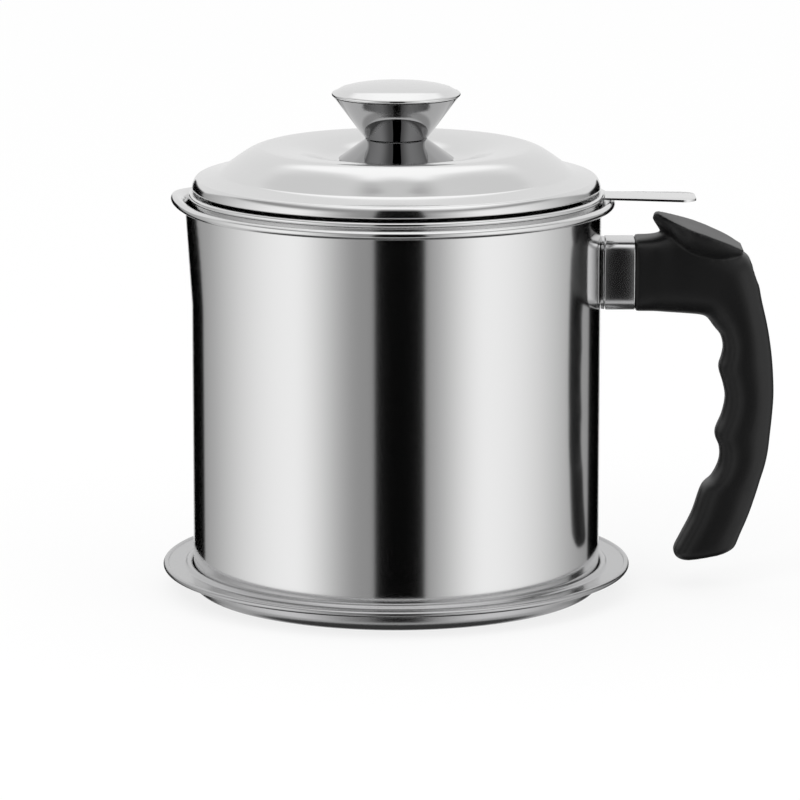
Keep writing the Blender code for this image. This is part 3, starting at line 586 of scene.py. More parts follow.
def new_material(name, metallic, roughness):
    material = bpy.data.materials.new(name)
    material.use_nodes = True
    tree = material.node_tree
    shader = tree.nodes["Principled BSDF"]
    shader.inputs["Metallic"].default_value = metallic
    shader.inputs["Roughness"].default_value = roughness
    return material, tree, shader


def turned_place(tree):
    """Radius and height of a point about the pot's axis, for marks that run round it."""
    place = add_node(tree, "TexCoord").outputs["Object"]
    axes = add_node(tree, "SeparateXYZ", Vector=place)
    squares = [join_math(tree, "MULTIPLY", axes.outputs[k], axes.outputs[k]) for k in "XY"]
    radius = join_math(tree, "SQRT", join_math(tree, "ADD", *squares))
    return add_node(tree, "CombineXYZ", X=radius, Y=0.0, Z=axes.outputs["Z"]).outputs[0], place


def steel_finish(name, tint, roughness, line_scale, line_depth, smudge):
    """Steel with fine turned lines, faint smudges in its gloss and slight tone changes."""
    material, tree, shader = new_material(name, 1.0, roughness)
    turned, place = turned_place(tree)
    lines = add_noise(tree, turned, line_scale, 4.0, 0.6)
    cloud = add_noise(tree, place, 38.0, 3.0)
    gloss = join_math(tree, "MULTIPLY_ADD", cloud, smudge, roughness - smudge / 2)
    gloss = join_math(tree, "MULTIPLY_ADD", lines, smudge, gloss)
    gloss = join_math(tree, "SUBTRACT", gloss, smudge / 2)
    tree.links.new(gloss, shader.inputs["Roughness"])
    drift_colour(tree, shader, cloud, tint, 0.965)
    add_relief(tree, shader, lines, 1.0, line_depth * MM)
    return material


def grip_finish(name, look):
    """Moulded black phenolic with a fine satin grain."""
    rough = look.grip_roughness
    material, tree, shader = new_material(name, 0.0, rough)
    shader.inputs["Specular IOR Level"].default_value = GRIP_SPECULAR
    place = add_node(tree, "TexCoord").outputs["Object"]
    grain = add_noise(tree, place, 2600.0, 3.0)
    cloud = add_noise(tree, place, 55.0, 2.0)
    gloss = join_math(tree, "MULTIPLY_ADD", cloud, GRIP_SMUDGE, rough - GRIP_SMUDGE / 2)
    tree.links.new(gloss, shader.inputs["Roughness"])
    drift_colour(tree, shader, cloud, look.phenolic, 0.85, 1.15)
    add_relief(tree, shader, grain, 0.5, 0.03 * MM)
    return material


def piece_material(name):
    """The material of this name, which the first piece that asks for it makes.

    A steel has a colour, a roughness, the scale of its turned lines, their depth in millimetres,
    and the smudges in its gloss.
    """
    look = bpy.context.scene.grease_finish
    steels = {
        "polished_steel": (look.steel, look.polish, 900.0, 0.0002, 0.01),
        # The knob's steel is polished steel made dimmer, to paint in the shade on the cones.
        "knob_steel_painted_shade": (look.knob, look.polish, 900.0, 0.0002, 0.01),
        # The tray's steel is darkened to paint in the shade that the pot casts on it.
        "tray_steel_painted_shade": (look.tray, 0.24, 1600.0, 0.0006, 0.04),
        "guard_steel": (look.satin, 0.2, 1600.0, 0.0006, 0.04),
        "satin_steel": (look.satin, look.satin_roughness, 2200.0, 0.006, 0.08),
        "machined_steel": (look.satin, 0.22, 3000.0, 0.004, 0.06),
        "woven_wire": (look.wire, 0.35, 1500.0, 0.004, 0.1),
    }
    if name in bpy.data.materials:
        return bpy.data.materials[name]
    if name in steels:
        return steel_finish(name, *steels[name])
    return grip_finish(name, look)


def tray_section(tray, pot):
    """The tray's sheet: a flat floor, a well round the pot's foot, a crest, and a hemmed flange."""
    well = pot.radius + GAP
    corner = (pot.radius - pot.corner, POT_LOW.z + pot.corner)
    crest = (well + tray.crest_radius, tray.crest_height - tray.crest_radius)
    hem = (tray.radius - tray.hem_radius, tray.flange_height - tray.sheet / 2)
    foot = well + tray.crest_width
    lead = foot - tray.sheet / 2
    under = tray.flange_height - tray.sheet
    section = [(0, tray.sheet)]
    section += arc(corner, pot.corner + GAP, -90, 0, 8)
    section += arc(crest, tray.crest_radius, 180, 45, 10)
    section += [(lead, tray.flange_height + tray.sheet / 8), (foot, tray.flange_height)]
    section += arc(hem, tray.hem_radius, *HEM_TURN, 18)
    section += [(foot, under), (lead, under + tray.sheet / 8)]
    section += arc(crest, tray.crest_radius - tray.sheet, 45, 180, 6)
    section += arc(corner, pot.corner + GAP + tray.sheet, 0, -90, 8)
    section.append((0, 0))
    return section


class AddTray(bpy.types.Operator):
    """Adds the drip tray that the pot stands in"""

    bl_idname = "grease_pot.add_tray"
    bl_label = "Add Drip Tray"

    def execute(self, context):
        scene = context.scene
        section = tray_section(scene.grease_tray, scene.grease_pot)
        dish = add_mesh("tray_dish", spin_section(section, RING_STEPS))
        finish_piece(dish, "tray", "tray_steel_painted_shade", "tray")
        return {"FINISHED"}


def pot_flare(pot):
    """Radius, centre's radius and start height of the arc that leads the inner wall to the lip."""
    inner = pot.radius - pot.sheet
    centre = pot.lip_radius - pot.curl_radius
    run = centre - pot.curl_radius * math.cos(pot.flare) - inner
    radius = run / (1 - math.cos(pot.flare))
    return radius, inner + radius, pot.height + (pot.curl_radius - radius) * math.sin(pot.flare)


def pot_section(pot):
    radius, centre, start = pot_flare(pot)
    corner = (pot.radius - pot.corner, pot.corner)
    curl = (pot.lip_radius - pot.curl_radius, pot.height)
    flare_end = 180 - math.degrees(pot.flare)
    spout_start = pot.height - pot.spout_drop
    inner = pot.radius - pot.sheet
    rise = [(i + 1) / (SPOUT_RINGS + 1) for i in range(SPOUT_RINGS)]
    section = [(0, pot.sheet)]
    section += arc(corner, pot.corner - pot.sheet, -90, 0, 8)
    section.append((inner, spout_start))
    section += [(inner, spout_start + (start - spout_start) * t) for t in rise]
    section += arc((centre, start), radius, 180, flare_end, 10)[:-1]
    section += arc(curl, pot.curl_radius, flare_end, LIP_CURL_END, 26)
    top = pot.height - pot.wall_gap
    section += [(pot.radius + pot.sheet / 2, top + pot.sheet / 2), (pot.radius, top)]
    section += [(pot.radius, top - (top - spout_start) * t) for t in rise]
    section.append((pot.radius, spout_start))
    section += arc(corner, pot.corner, 0, -90, 8)
    section.append((0, 0))
    return section


def draw_spout(bm, pot):
    """Draws the lip and the wall below it out to a low spout on the -X side."""
    start = pot.height - pot.spout_drop
    for vert in bm.verts:
        off = abs(math.atan2(vert.co.y, -vert.co.x))
        if vert.co.z <= start or off >= pot.spout_half_angle:
            continue
        rise = (vert.co.z - start) / pot.spout_drop
        width = 0.5 + 0.5 * math.cos(math.pi * off / pot.spout_half_angle)
        vert.co.x -= pot.spout_reach * width * rise
        vert.co.z += pot.spout_lift * width * rise**3


class AddPot(bpy.types.Operator):
    """Adds the pot with its curled lip and spout"""

    bl_idname = "grease_pot.add_pot"
    bl_label = "Add Pot"

    def execute(self, context):
        scene = context.scene
        bm = spin_section(pot_section(scene.grease_pot), RING_STEPS)
        draw_spout(bm, scene.grease_pot)
        bmesh.ops.translate(bm, verts=bm.verts, vec=(0, 0, POT_LOW.z))
        shell = add_mesh("pot_shell", bm)
        finish_piece(shell, "pot", "polished_steel", "pot_body")
        return {"FINISHED"}


def saddle_loop(radius, outline):
    """A loop (y, z) about the handle's axis, pressed onto the upright cylinder of this radius."""
    return [(math.sqrt(radius**2 - y**2), y, z + HANDLE_Z) for y, z in outline]


def flat_loop(x, outline):
    return [(x, y, z + HANDLE_Z) for y, z in outline]


def ferrule_outline(inset):
    half_width = (FERRULE_HIGH.y - FERRULE_LOW.y) / 2 - inset
    half_height = (FERRULE_HIGH.z - FERRULE_LOW.z) / 2 - inset
    return rounded_loop(half_width, half_height, FERRULE_POWER, HANDLE_SIDES)


def bracket_loops(handle, wall):
    """The saddle's flange on the wall, the cup with its screw hole, and back inside."""
    sheet = handle.pad_sheet
    inner = wall + GAP
    outer = inner + sheet
    pad = ferrule_outline(handle.pad_inset)
    cup = ferrule_outline(handle.ferrule_wall + GAP)
    hollow = ferrule_outline(handle.ferrule_wall + GAP + sheet)
    hole = rounded_loop(handle.screw_radius + GAP, handle.screw_radius + GAP, 2, HANDLE_SIDES)
    end = FERRULE_HIGH.x - handle.spigot_length - 2 * sheet + GAP
    loops = [saddle_loop(radius, pad) for radius in (inner, outer - sheet / 5)]
    loops += [saddle_loop(outer, ferrule_outline(handle.pad_inset + sheet / 5))]
    loops += [saddle_loop(outer, cup), flat_loop(end, cup)]
    loops += [flat_loop(end, hole), flat_loop(end - sheet, hole)]
    loops += [flat_loop(end - sheet, hollow), saddle_loop(inner, hollow)]
    return loops, outer


def ferrule_loops(handle, saddle):
    """The sleeve between the saddle and the plastic, with both outer rims rounded."""
    edge = handle.ferrule_edge
    inner = ferrule_outline(handle.ferrule_wall)
    end = FERRULE_HIGH.x
    quarter = [math.radians(90 * i / 4) for i in range(5)]
    rim = [(edge * (1 - math.sin(a)), ferrule_outline(edge * (1 - math.cos(a)))) for a in quarter]
    loops = [saddle_loop(saddle + back, outline) for back, outline in rim[::-1]]
    loops += [flat_loop(end - back, outline) for back, outline in rim]
    loops += [flat_loop(end, inner), saddle_loop(saddle, inner)]
    return loops


def grip_loops(handle):
    """The spigot in the ferrule, and then the sections of the grip from the arm to its foot."""
    start = FERRULE_HIGH.x + GAP
    reach = GRIP_HIGH.x - start
    drop = HANDLE_Z - GRIP_LOW.z
    spigot = ferrule_outline(handle.ferrule_wall + GAP)
    loops = [flat_loop(x, spigot) for x in (start - handle.spigot_length, start)]
    for inner_x, inner_z, outer_x, outer_z, width, power in smooth_rows(GRIP_SHARES, ROW_STEPS):
        middle_x = start + reach * (inner_x + outer_x) / 2
        middle_z = HANDLE_Z + drop * (inner_z + outer_z) / 2
        lean_x = reach * (outer_x - inner_x) / 2
        lean_z = drop * (outer_z - inner_z) / 2
        outline = rounded_loop(handle.grip_half_width * width, 1, power, HANDLE_SIDES)
        loops.append([(middle_x + lean_x * t, y, middle_z + lean_z * t) for y, t in outline])
    return loops


def thumb_loops(handle):
    """The thumb rest's flat top, with a belly under it that runs into the arm."""
    run_x, run_z = math.cos(handle.thumb_slope), -math.sin(handle.thumb_slope)
    start_x = FERRULE_HIGH.x + GAP + handle.thumb_start_x
    start_z = HANDLE_Z + handle.thumb_start_z
    loops = []
    for place, width, fall, depth in smooth_rows(THUMB_SHARES, THUMB_ROW_STEPS):
        x = start_x + run_x * handle.thumb_length * place
        z = start_z + run_z * handle.thumb_length * place
        loop = []
        for i in range(THUMB_SIDES + 1):
            angle = math.pi * i / THUMB_SIDES
            down = handle.thumb_depth * (fall + (depth - fall) * math.sin(angle))
            y = handle.thumb_half_width * width * math.cos(angle)
            loop.append((x + run_z * down, y, z - run_x * down))
        loops.append(loop)
    return loops


def along_x(x, z):
    """Lays a shape that was made along +Z along +X, at this place."""
    return Matrix.Translation((x, 0, z)) @ Matrix.Rotation(math.pi / 2, 4, "Y")


def screw_section(radius, stem, head_radius, head_height):
    """A screw along +Z: its head's seat is at zero, its dome above and its shank below."""
    dome = []
    for degrees in range(0, 91, 10):
        angle = math.radians(degrees)
        height = HEAD_EDGE_SHARE + (1 - HEAD_EDGE_SHARE) * math.sin(angle)
        dome.append((head_radius * math.cos(angle), head_height * height))
    shank = [(radius, 0), (radius, radius / 3 - stem), (radius * 2 / 3, -stem), (0, -stem)]
    return [(0, head_height)] + dome[-2::-1] + [(head_radius, 0)] + shank


def cross_recess(piece, matrix, head_radius, head_height):
    """Cuts a cross for a screwdriver into the head."""
    long, thin = head_radius * RECESS_LENGTH, head_radius * RECESS_WIDTH
    for size in ((long, thin), (thin, long)):
        bm = bmesh.new()
        bmesh.ops.create_cube(bm, size=1.0)
        for vert in bm.verts:
            taper, height = (1.0, RECESS_TOP) if vert.co.z > 0 else (RECESS_TAPER, RECESS_FLOOR)
            vert.co.x *= size[0] * taper
            vert.co.y *= size[1] * taper
            vert.co.z = head_height * height
        bmesh.ops.transform(bm, matrix=matrix, verts=bm.verts)
        combine(piece, "DIFFERENCE", add_mesh("recess", bm))


def add_screw(name, matrix, radius, stem, head_radius, head_height):
    bm = spin_section(screw_section(radius, stem, head_radius, head_height), SMALL_STEPS)
    bmesh.ops.transform(bm, matrix=matrix, verts=bm.verts)
    screw = add_mesh(name, bm)
    cross_recess(screw, matrix, head_radius, head_height)
    return screw


def add_washer(name, matrix, hole, radius, sheet):
    edge = sheet / 5
    section = [(hole, 0), (radius - edge, 0), (radius, edge), (radius, sheet - edge)]
    section += [(radius - edge, sheet), (hole, sheet)]
    bm = spin_section(section, SMALL_STEPS)
    bmesh.ops.transform(bm, matrix=matrix, verts=bm.verts)
    return add_mesh(name, bm)


class AddHandle(bpy.types.Operator):
    """Adds the saddle bracket, the ferrule, the moulded grip and its screw"""

    bl_idname = "grease_pot.add_handle"
    bl_label = "Add Handle"

    def execute(self, context):
        handle, wall = context.scene.grease_handle, context.scene.grease_pot.radius
        loops, face = bracket_loops(handle, wall)
        bracket = add_mesh("saddle_bracket", loft_loops(loops, closed=True))
        finish_piece(bracket, "pot", "guard_steel", "handle_bracket")
        loops = ferrule_loops(handle, face + GAP)
        ferrule = add_mesh("ferrule_sleeve", loft_loops(loops, closed=True))
        finish_piece(ferrule, "pot", "guard_steel", "handle_ferrule")
        self.add_grip(handle, wall)
        self.add_fixings(handle)
        return {"FINISHED"}

    def add_grip(self, handle, wall):
        grip = add_mesh("grip_moulding", loft_loops(grip_loops(handle)))
        combine(grip, "UNION", add_mesh("thumb_shape", loft_loops(thumb_loops(handle))))
        hole = handle.screw_radius + GAP
        seat = handle.bore_seat
        end = GRIP_HIGH.x - wall + OVERRUN
        bore = [(0, 0), (hole, 0), (hole, seat), (handle.bore_radius, seat)]
        bore += [(handle.bore_radius, end), (0, end)]
        bm = spin_section(bore, SMALL_STEPS)
        bmesh.ops.transform(bm, matrix=along_x(wall, HANDLE_Z), verts=bm.verts)
        combine(grip, "DIFFERENCE", add_mesh("bore_shape", bm))
        skin = grip.modifiers.new("skin", "REMESH")
        skin.mode = "VOXEL"
        skin.voxel_size = handle.voxel
        ease = grip.modifiers.new("ease", "SMOOTH")
        ease.factor = SKIN_EASE
        ease.iterations = SKIN_ROUNDS
        settle(grip, math.pi)
        finish_piece(grip, "pot", "black_phenolic", "handle_grip")

    def add_fixings(self, handle):
        radius = (SCREW_HIGH.z - SCREW_LOW.z) / 2
        head = SCREW_HIGH.x - radius * HEAD_SHARE
        matrix = along_x(head, HANDLE_Z)
        stem = head - SCREW_LOW.x
        dome = SCREW_HIGH.x - head
        screw = add_screw("grip_screw", matrix, handle.screw_radius, stem, radius, dome)
        finish_piece(screw, "pot", "machined_steel", "handle_screw")
        low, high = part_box("handle_washer")
        matrix = along_x(low.x, HANDLE_Z)
        hole = handle.screw_radius + GAP
        washer = add_washer("grip_washer", matrix, hole, high.y, high.x - low.x)
        finish_piece(washer, "pot", "machined_steel", "handle_washer")
        coat(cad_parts["handle_nut"], "machined_steel")


def basket_section(strainer, pot):
    """The basket: a floor flange, a straight wall, a shoulder on the pot's flare, and a bead."""
    wall = pot.radius - pot.sheet - strainer.play
    sheet = strainer.sheet
    flare_radius, flare_centre, flare_start = pot_flare(pot)
    flare = (flare_centre, flare_start + POT_LOW.z)
    corner = (wall - strainer.corner, BASKET_LOW.z + strainer.corner)
    bead = (BASKET_HIGH.y - strainer.bead_radius, BASKET_HIGH.z - strainer.bead_radius)
    low, high = 180 - math.degrees(strainer.seat_low), 180 - math.degrees(strainer.seat_high)
    shoulder = arc(flare, flare_radius + GAP, low, high, 6)
    inner_shoulder = arc(flare, flare_radius + GAP + sheet, high, low, 6)
    wall_top = shoulder[0][1] - strainer.neck
    hole = wall - sheet - strainer.floor_width
    section = [(hole, BASKET_LOW.z)]
    section += arc(corner, strainer.corner, -90, 0, 6)
    section.append((wall, wall_top))
    section += shoulder
    section += arc(bead, strainer.bead_radius, *RIM_TURN, 26)
    section += inner_shoulder
    section.append((wall - sheet, wall_top))
    section += arc(corner, strainer.corner - sheet, 0, -90, 6)
    section.append((hole, BASKET_LOW.z + sheet))
    return section


def ring_section():
    """The ring that holds the weave's edge, with its top edges rounded."""
    inner = RING_HIGH.y - RING_WIDTH
    edge = (RING_HIGH.z - RING_LOW.z) / 3
    outer = RING_HIGH.y
    top = RING_HIGH.z
    section = [(inner, RING_LOW.z), (outer, RING_LOW.z)]
    section += arc((outer - edge, top - edge), edge, 0, 90, 5)
    section += arc((inner + edge, top - edge), edge, 90, 180, 5)
    return section


def weave_mesh(strainer):
    """Two sets of wavy wires, over and under each other, cut to the disc."""
    radius = MESH_HIGH.y - strainer.wire_radius
    height = (MESH_LOW.z + MESH_HIGH.z) / 2
    pitch, wire = strainer.wire_pitch, strainer.wire_radius
    count = int(radius / pitch)
    turns = [math.pi * (k / 2 + 0.25) for k in range(4)]
    corners = [(math.cos(angle), math.sin(angle)) for angle in turns]
    verts, faces = [], []
    for across in (False, True):
        for i in range(-count, count + 1):
            off = i * pitch
            half = math.sqrt(radius**2 - off**2)
            steps = max(2, int(2 * half / pitch) * 2)
            first = len(verts)
            for k in range(steps + 1):
                along = -half + 2 * half * k / steps
                phase = math.pi * (along / pitch + i + (1 if across else 0))
                z = height + wire * math.cos(phase)
                for side, up in corners:
                    x, y = (off + side * wire, along) if across else (along, off + side * wire)
                    verts.append((x, y, z + up * wire))
            for k in range(steps):
                row = first + 4 * k
                for s in range(4):
                    t = (s + 1) % 4
                    faces.append((row + s, row + t, row + 4 + t, row + 4 + s))
            last = first + 4 * steps
            faces.append((first, first + 1, first + 2, first + 3))
            faces.append((last + 3, last + 2, last + 1, last))
    bm = bmesh.new()
    points = [bm.verts.new(v) for v in verts]
    for face in faces:
        bm.faces.new([points[i] for i in face])
    return bm


def tab_loops(strainer, pot):
    """Strips across the tab: a root that hugs the neck, and a plate out over the pot's lip."""
    plane = POT_LOW.z + pot.height
    under = pot.curl_radius + GAP
    over = under + strainer.tab_sheet
    root = math.sqrt(TAB_LOW.x**2 + (strainer.tab_root_width / 2) ** 2)
    out = root + strainer.tab_root_sheet
    clear = root + strainer.tab_sheet
    foot = under - strainer.tab_root_drop
    hugging = ((root, foot), (out, foot), (out, under))
    leaning = ((clear, over), (root, under - strainer.tab_sheet / 8))
    end_half = TAB_HIGH.y
    loops = []
    for i in range(TAB_STRIPS + 1):
        across = -math.cos(math.pi * i / TAB_STRIPS)
        y_root = strainer.tab_root_width / 2 * across
        y_end = end_half * across
        inset = max(0, abs(y_end) - (end_half - strainer.tab_corner))
        tip = TAB_HIGH.x - strainer.tab_corner
        tip += math.sqrt(max(0, strainer.tab_corner**2 - inset**2))
        loop = [(math.sqrt(r**2 - y_root**2), y_root, plane + z) for r, z in hugging]
        fall = strainer.tab_fall
        loop += [(tip, y_end, plane + under - fall), (tip, y_end, plane + over - fall)]
        loop += [(math.sqrt(r**2 - y_root**2), y_root, plane + z) for r, z in leaning]
        loops.append(loop)
    return loops


class AddStrainer(bpy.types.Operator):
    """Adds the strainer: basket, woven mesh, its ring, and the lifting tab"""

    bl_idname = "grease_pot.add_strainer"
    bl_label = "Add Strainer"

    def execute(self, context):
        strainer, pot = context.scene.grease_strainer, context.scene.grease_pot
        basket = add_mesh("basket_wall", spin_section(basket_section(strainer, pot), RING_STEPS))
        finish_piece(basket, "strainer", "polished_steel", "strainer_basket")
        ring = add_mesh("weave_ring", spin_section(ring_section(), RING_STEPS))
        finish_piece(ring, "strainer", "satin_steel", "strainer_mesh_ring")
        weave = add_mesh("wire_weave", weave_mesh(strainer), math.pi)
        finish_piece(weave, "strainer", "woven_wire", "strainer_mesh")
        tab = add_mesh("lifting_tab", loft_loops(tab_loops(strainer, pot)))
        rounding = tab.modifiers.new("rounding", "BEVEL")
        rounding.width = strainer.tab_sheet / 6
        rounding.segments = 2
        rounding.limit_method = "ANGLE"
        rounding.angle_limit = SHARP_ANGLE
        settle(tab)
        finish_piece(tab, "strainer", "polished_steel", "strainer_tab")
        return {"FINISHED"}


def lid_section(lid):
    """The lid's sheet: the dished seat, the crown, the break, the brim and the curled edge."""
    base = LID_LOW.z + lid.edge_drop
    seat = (lid.seat_radius, lid.seat_height)
    crown = (lid.crown_radius, lid.crown_height)
    fold = (lid.break_radius, lid.break_height)
    brim = (lid.brim_radius, lid.brim_height)
    edge = (LID_HIGH.y, lid.edge_height)
    path = [seat, *stretch(seat, crown, [(r, 1 - z) for r, z in DISH_SHARES]), crown]
    path += [*stretch(crown, fold, CROWN_SHARES), fold, *stretch(fold, brim, BRIM_SHARES)]
    path += [brim, *stretch(brim, edge, EDGE_SHARES), edge]
    outside = smooth_rows(path, ROW_STEPS)
    brim_end = next(i for i, (r, z) in enumerate(outside) if r >= lid.brim_radius)
    top = [(lid.hole_radius, lid.seat_height), *outside[: brim_end + 1]]
    under = offset_down(top, lid.sheet)
    under[0] = (lid.hole_radius, lid.seat_height - lid.sheet)
    centre = (LID_HIGH.y - lid.curl_radius, lid.edge_height)
    curl = arc(centre, lid.curl_radius, *LID_CURL_TURN, 20)
    section = top + outside[brim_end + 1 : -1] + curl + under[::-1]
    return [(r, z + base) for r, z in section]


class AddLid(bpy.types.Operator):
    """Adds the lid's pressed shell"""

    bl_idname = "grease_pot.add_lid"
    bl_label = "Add Lid"

    def execute(self, context):
        section = lid_section(context.scene.grease_lid)
        shell = add_mesh("lid_dome", spin_section(section, RING_STEPS))
        finish_piece(shell, "lid", "polished_steel", "lid_shell")
        return {"FINISHED"}


def skirt_section(knob):
    hole = knob.core_radius + GAP
    sheet, waist, outer = knob.sheet, knob.waist_radius, SKIRT_HIGH.y
    low, high = SKIRT_LOW.z, SKIRT_HIGH.z
    lean = sheet / math.cos(math.atan2(high - low, outer - waist))
    section = [(hole, high), (waist - sheet / 3, high), (waist, high - sheet / 4)]
    section += [(outer, low + sheet / 2), (outer, low + sheet / 4), (outer - sheet / 4, low)]
    section += [(outer - lean, low), (waist - sheet / 2, high - sheet), (hole, high - sheet)]
    return section


def cone_section(knob):
    hole = knob.core_radius + GAP
    waist, outer = knob.waist_radius, CONE_HIGH.y
    low, high = CONE_LOW.z, CONE_HIGH.z
    wall = knob.sheet / math.cos(math.atan2(outer - waist, high - low))
    return [
        (hole, low),
        (waist - knob.sheet / 3, low),
        (waist, low + knob.sheet / 4),
        (outer, high),
        (outer - wall, high),
        (waist - wall / 2, low + knob.sheet),
        (hole, low + knob.sheet),
    ]


def cap_section(knob):
    edge, rise = knob.cap_edge, knob.cap_rise
    low, outer = CAP_LOW.z, CAP_HIGH.y
    shoulder = outer - edge / 2
    inner = CONE_HIGH.y - knob.sheet
    dome = [(shoulder * r, edge + rise * z) for r, z in CAP_DOME_SHARES]
    hollow = [(inner * r, knob.sheet + rise * z) for r, z in CAP_DOME_SHARES[::-1]]
    seam = arc((shoulder, edge / 2), edge / 2, 90, -90, 10)
    section = [(0, edge + rise), *dome, *seam, (inner, 0), *hollow, (0, knob.sheet + rise)]
    return [(r, z + low) for r, z in section]


class AddKnob(bpy.types.Operator):
    """Adds the knob: skirt, cone, cap, and the screw and washer under the lid"""

    bl_idname = "grease_pot.add_knob"
    bl_label = "Add Knob"

    def execute(self, context):
        knob = context.scene.grease_knob
        for name, section, finish, node in (
            ("knob_lower_cone", skirt_section(knob), "knob_steel_painted_shade", "knob_skirt"),
            ("knob_upper_cone", cone_section(knob), "knob_steel_painted_shade", "knob_cone"),
            ("knob_top", cap_section(knob), "polished_steel", "knob_cap"),
        ):
            piece = add_mesh(name, spin_section(section, KNOB_STEPS), KNOB_SHARP_ANGLE)
            finish_piece(piece, "lid", finish, node)
        self.add_fixings(context.scene.grease_lid)
        return {"FINISHED"}

    def add_fixings(self, lid):
        low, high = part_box("knob_washer")
        place = Matrix.Translation((0, 0, low.z))
        washer = add_washer("lid_washer", place, lid.hole_radius, high.y, high.z - low.z)
        finish_piece(washer, "lid", "machined_steel", "knob_washer")
        seat = low.z - GAP
        place = Matrix.Translation((0, 0, seat)) @ Matrix.Rotation(math.pi, 4, "X")
        radius, stem = lid.hole_radius - GAP, KNOB_SCREW_HIGH.z - seat
        head_radius, head_height = KNOB_SCREW_HIGH.y, seat - KNOB_SCREW_LOW.z
        screw = add_screw("lid_screw", place, radius, stem, head_radius, head_height)
        finish_piece(screw, "lid", "machined_steel", "knob_screw")
        coat(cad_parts["knob_core"], "machined_steel")


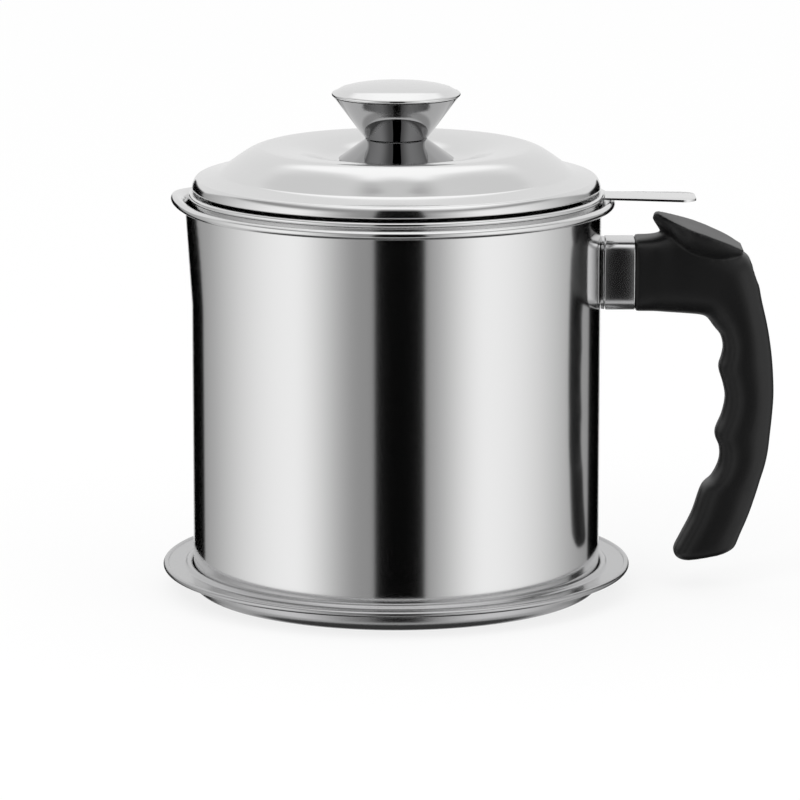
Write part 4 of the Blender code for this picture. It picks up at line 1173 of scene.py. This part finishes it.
class AddStage(bpy.types.Operator):
    """Adds the pale floor, the soft studio light and the camera"""

    bl_idname = "grease_pot.add_stage"
    bl_label = "Add Stage"

    def execute(self, context):
        scene = context.scene
        studio = scene.grease_studio
        self.add_floor(studio)
        self.add_world(scene, studio)
        self.add_lamps()
        self.add_camera(scene, studio)
        scene.view_settings.view_transform = "Standard"
        return {"FINISHED"}

    def add_floor(self, studio):
        bm = bmesh.new()
        bmesh.ops.create_grid(bm, x_segments=1, y_segments=1, size=studio.floor_size / 2)
        floor = add_mesh("floor", bm)
        material, tree, shader = new_material("pale_floor", 0.0, FLOOR_ROUGHNESS)
        shader.inputs["Specular IOR Level"].default_value = 0.0
        place = add_node(tree, "TexCoord").outputs["Object"]
        cloud = add_noise(tree, place, 2.0, 2.0)
        drift_colour(tree, shader, cloud, studio.floor_colour, 0.995)
        self.lighten_floor(tree, shader, studio)
        floor.data.materials.append(material)
        floor.visible_glossy = False

    def lighten_floor(self, tree, shader, studio):
        """Lets part of the floor shine white where the camera sees it, so the shadow is faint."""
        shine = add_node(tree, "Emission", Color=(1, 1, 1, 1), Strength=1.0)
        seen = add_node(tree, "LightPath").outputs["Is Camera Ray"]
        mix = add_node(tree, "MixShader")
        tree.links.new(join_math(tree, "MULTIPLY", seen, studio.floor_shine), mix.inputs["Fac"])
        tree.links.new(shader.outputs["BSDF"], mix.inputs[1])
        tree.links.new(shine.outputs["Emission"], mix.inputs[2])
        tree.links.new(mix.outputs[0], tree.nodes["Material Output"].inputs["Surface"])

    def add_lamps(self):
        for name, place, size, power in LAMPS:
            lamp = bpy.data.lights.new(name, "AREA")
            lamp.size = size
            lamp.energy = power
            lamp_object = bpy.data.objects.new(name, lamp)
            bpy.context.scene.collection.objects.link(lamp_object)
            lamp_object.location = place
            lamp_object.rotation_euler = (-Vector(place)).to_track_quat("-Z", "Y").to_euler()
            lamp_object.visible_glossy = False

    def add_camera(self, scene, studio):
        camera = bpy.data.cameras.new("camera")
        camera.lens = studio.lens
        camera.sensor_width = SENSOR_WIDTH
        camera.shift_x = studio.shift
        camera.clip_start = VIEW_NEAR
        camera.clip_end = VIEW_FAR
        view = bpy.data.objects.new("camera", camera)
        scene.collection.objects.link(view)
        view.location = (studio.camera_x, -studio.camera_distance, studio.camera_height)
        view.rotation_euler = (math.pi / 2 - studio.camera_pitch, 0, 0)
        scene.camera = view

    def add_world(self, scene, studio):
        """White for the camera and for dull surfaces, and for metal a room that it reflects."""
        world = bpy.data.worlds.new("studio")
        scene.world = world
        world.use_nodes = True
        tree = world.node_tree
        tree.nodes.clear()
        path = add_node(tree, "LightPath")
        shiny = join_math(
            tree, "MAXIMUM", path.outputs["Is Glossy Ray"], path.outputs["Is Transmission Ray"]
        )
        strength = blend_levels(tree, shiny, 1.0, self.room_reflection(tree, studio))
        background = add_node(tree, "Background", Color=(1, 1, 1, 1), Strength=strength)
        add_node(tree, "OutputWorld", Surface=background.outputs[0])

    def room_reflection(self, tree, studio):
        """The room's brightness by direction: walls, a ceiling over them, and a worktop below."""
        place = add_node(tree, "TexCoord").outputs["Generated"]
        axes = add_node(tree, "SeparateXYZ", Vector=place)
        front = join_math(tree, "MULTIPLY", axes.outputs["Y"], -1.0)
        azimuth = join_math(tree, "ARCTAN2", axes.outputs["X"], front)
        elevation = join_math(tree, "ARCSINE", axes.outputs["Z"])
        side = join_math(tree, "ABSOLUTE", azimuth)
        walls = self.wall_level(tree, studio, azimuth, side, elevation)
        ceiling = self.ceiling_level(tree, studio, side, elevation)
        lean = turn_step(tree, azimuth, *RIGHT_TURN, 1.0, RIGHT_SHARE)
        rise = []
        for ahead, behind in zip(CEILING_RISE, BACKDROP_RISE):
            levels = math.radians(ahead), math.radians(behind)
            edge = turn_step(tree, side, *BACKDROP_TURN, *levels)
            rise.append(join_math(tree, "MULTIPLY", edge, lean))
        level = blend_levels(tree, map_range(tree, elevation, *rise), walls, ceiling)
        over = turn_step(tree, elevation, *WORKTOP_EDGE)
        level = blend_levels(tree, over, studio.worktop_level, level)
        shade = turn_step(tree, elevation, *POT_SHADE_EDGE, POT_SHADE, 1.0)
        return join_math(tree, "MULTIPLY", level, shade)

    def wall_level(self, tree, studio, azimuth, side, elevation):
        """Two softboxes on grey walls, a black flag in front, and two black flags behind."""
        boxes = []
        for middle, left_fall, right_fall in (
            (BOX_LEFT, BOX_OUTER_FALL, BOX_INNER_FALL),
            (BOX_RIGHT, BOX_INNER_FALL, BOX_OUTER_FALL),
        ):
            rising = turn_step(tree, azimuth, middle - left_fall, middle)
            falling = turn_step(tree, azimuth, middle, middle + right_fall, 1.0, 0.0)
            boxes.append(join_math(tree, "MULTIPLY", rising, falling))
        height = turn_step(tree, elevation, *BOX_TOP, 1.0, 0.0)
        light = join_math(tree, "MULTIPLY", join_math(tree, "ADD", *boxes), height)
        level = join_math(tree, "MULTIPLY_ADD", light, studio.box_level, studio.room_level)
        behind = turn_step(tree, side, *BACK_FLAG)
        level = blend_levels(tree, behind, level, studio.back_level)
        front_flag = hump(tree, azimuth, FRONT_FLAG, FLAG_EDGES)
        back_flag = hump(tree, side, BACK_FLAG, FLAG_EDGES)
        flags = join_math(tree, "SUBTRACT", 1.0, join_math(tree, "ADD", front_flag, back_flag))
        return join_math(tree, "MULTIPLY", level, flags)

    def ceiling_level(self, tree, studio, side, elevation):
        """The backdrop, and over it the ceiling, with a dimmer gap between its lights."""
        dim = hump(tree, side, DIM_SIDE, DIM_SIDE_EDGES)
        fall = -DIM_SIDE_SHARE * studio.sky_level
        upper = join_math(tree, "MULTIPLY_ADD", dim, fall, studio.sky_level)
        gap = hump(tree, elevation, LIGHT_GAP, LIGHT_GAP_EDGES)
        gap = join_math(tree, "MULTIPLY", gap, turn_step(tree, side, *LIGHT_GAP_TURN))
        gap = join_math(tree, "MULTIPLY_ADD", gap, -LIGHT_GAP_SHARE, 1.0)
        upper = join_math(tree, "MULTIPLY", upper, gap)
        top = turn_step(tree, elevation, *BACKDROP_TOP)
        return blend_levels(tree, top, studio.back_level, upper)


OPERATORS = (AddTray, AddPot, AddHandle, AddStrainer, AddLid, AddKnob, AddStage)
SETTINGS = {
    "grease_tray": TraySizes,
    "grease_pot": PotSizes,
    "grease_handle": HandleSizes,
    "grease_strainer": StrainerSizes,
    "grease_lid": LidSizes,
    "grease_knob": KnobSizes,
    "grease_finish": FinishSettings,
    "grease_studio": StudioSettings,
}


class GreasePotPanel(bpy.types.Panel):
    """Lists the operators and their settings"""

    bl_idname = "VIEW3D_PT_grease_pot"
    bl_label = "Grease Pot"
    bl_space_type = "VIEW_3D"
    bl_region_type = "UI"
    bl_category = "Grease Pot"

    def draw(self, context):
        for operator in OPERATORS:
            self.layout.operator(operator.bl_idname)
        for name, group in SETTINGS.items():
            box = self.layout.box()
            box.label(text=group.__name__)
            for setting in group.__annotations__:
                box.prop(getattr(context.scene, name), setting)


def register():
    for group in SETTINGS.values():
        bpy.utils.register_class(group)
    for name, group in SETTINGS.items():
        setattr(bpy.types.Scene, name, PointerProperty(type=group))
    for operator in OPERATORS:
        bpy.utils.register_class(operator)
    bpy.utils.register_class(GreasePotPanel)


def unregister():
    bpy.utils.unregister_class(GreasePotPanel)
    for operator in reversed(OPERATORS):
        bpy.utils.unregister_class(operator)
    for name, group in SETTINGS.items():
        delattr(bpy.types.Scene, name)
        bpy.utils.unregister_class(group)


def main():
    register()
    for operator in OPERATORS:
        group, name = operator.bl_idname.split(".")
        getattr(getattr(bpy.ops, group), name)()


if __name__ == "__main__":
    main()
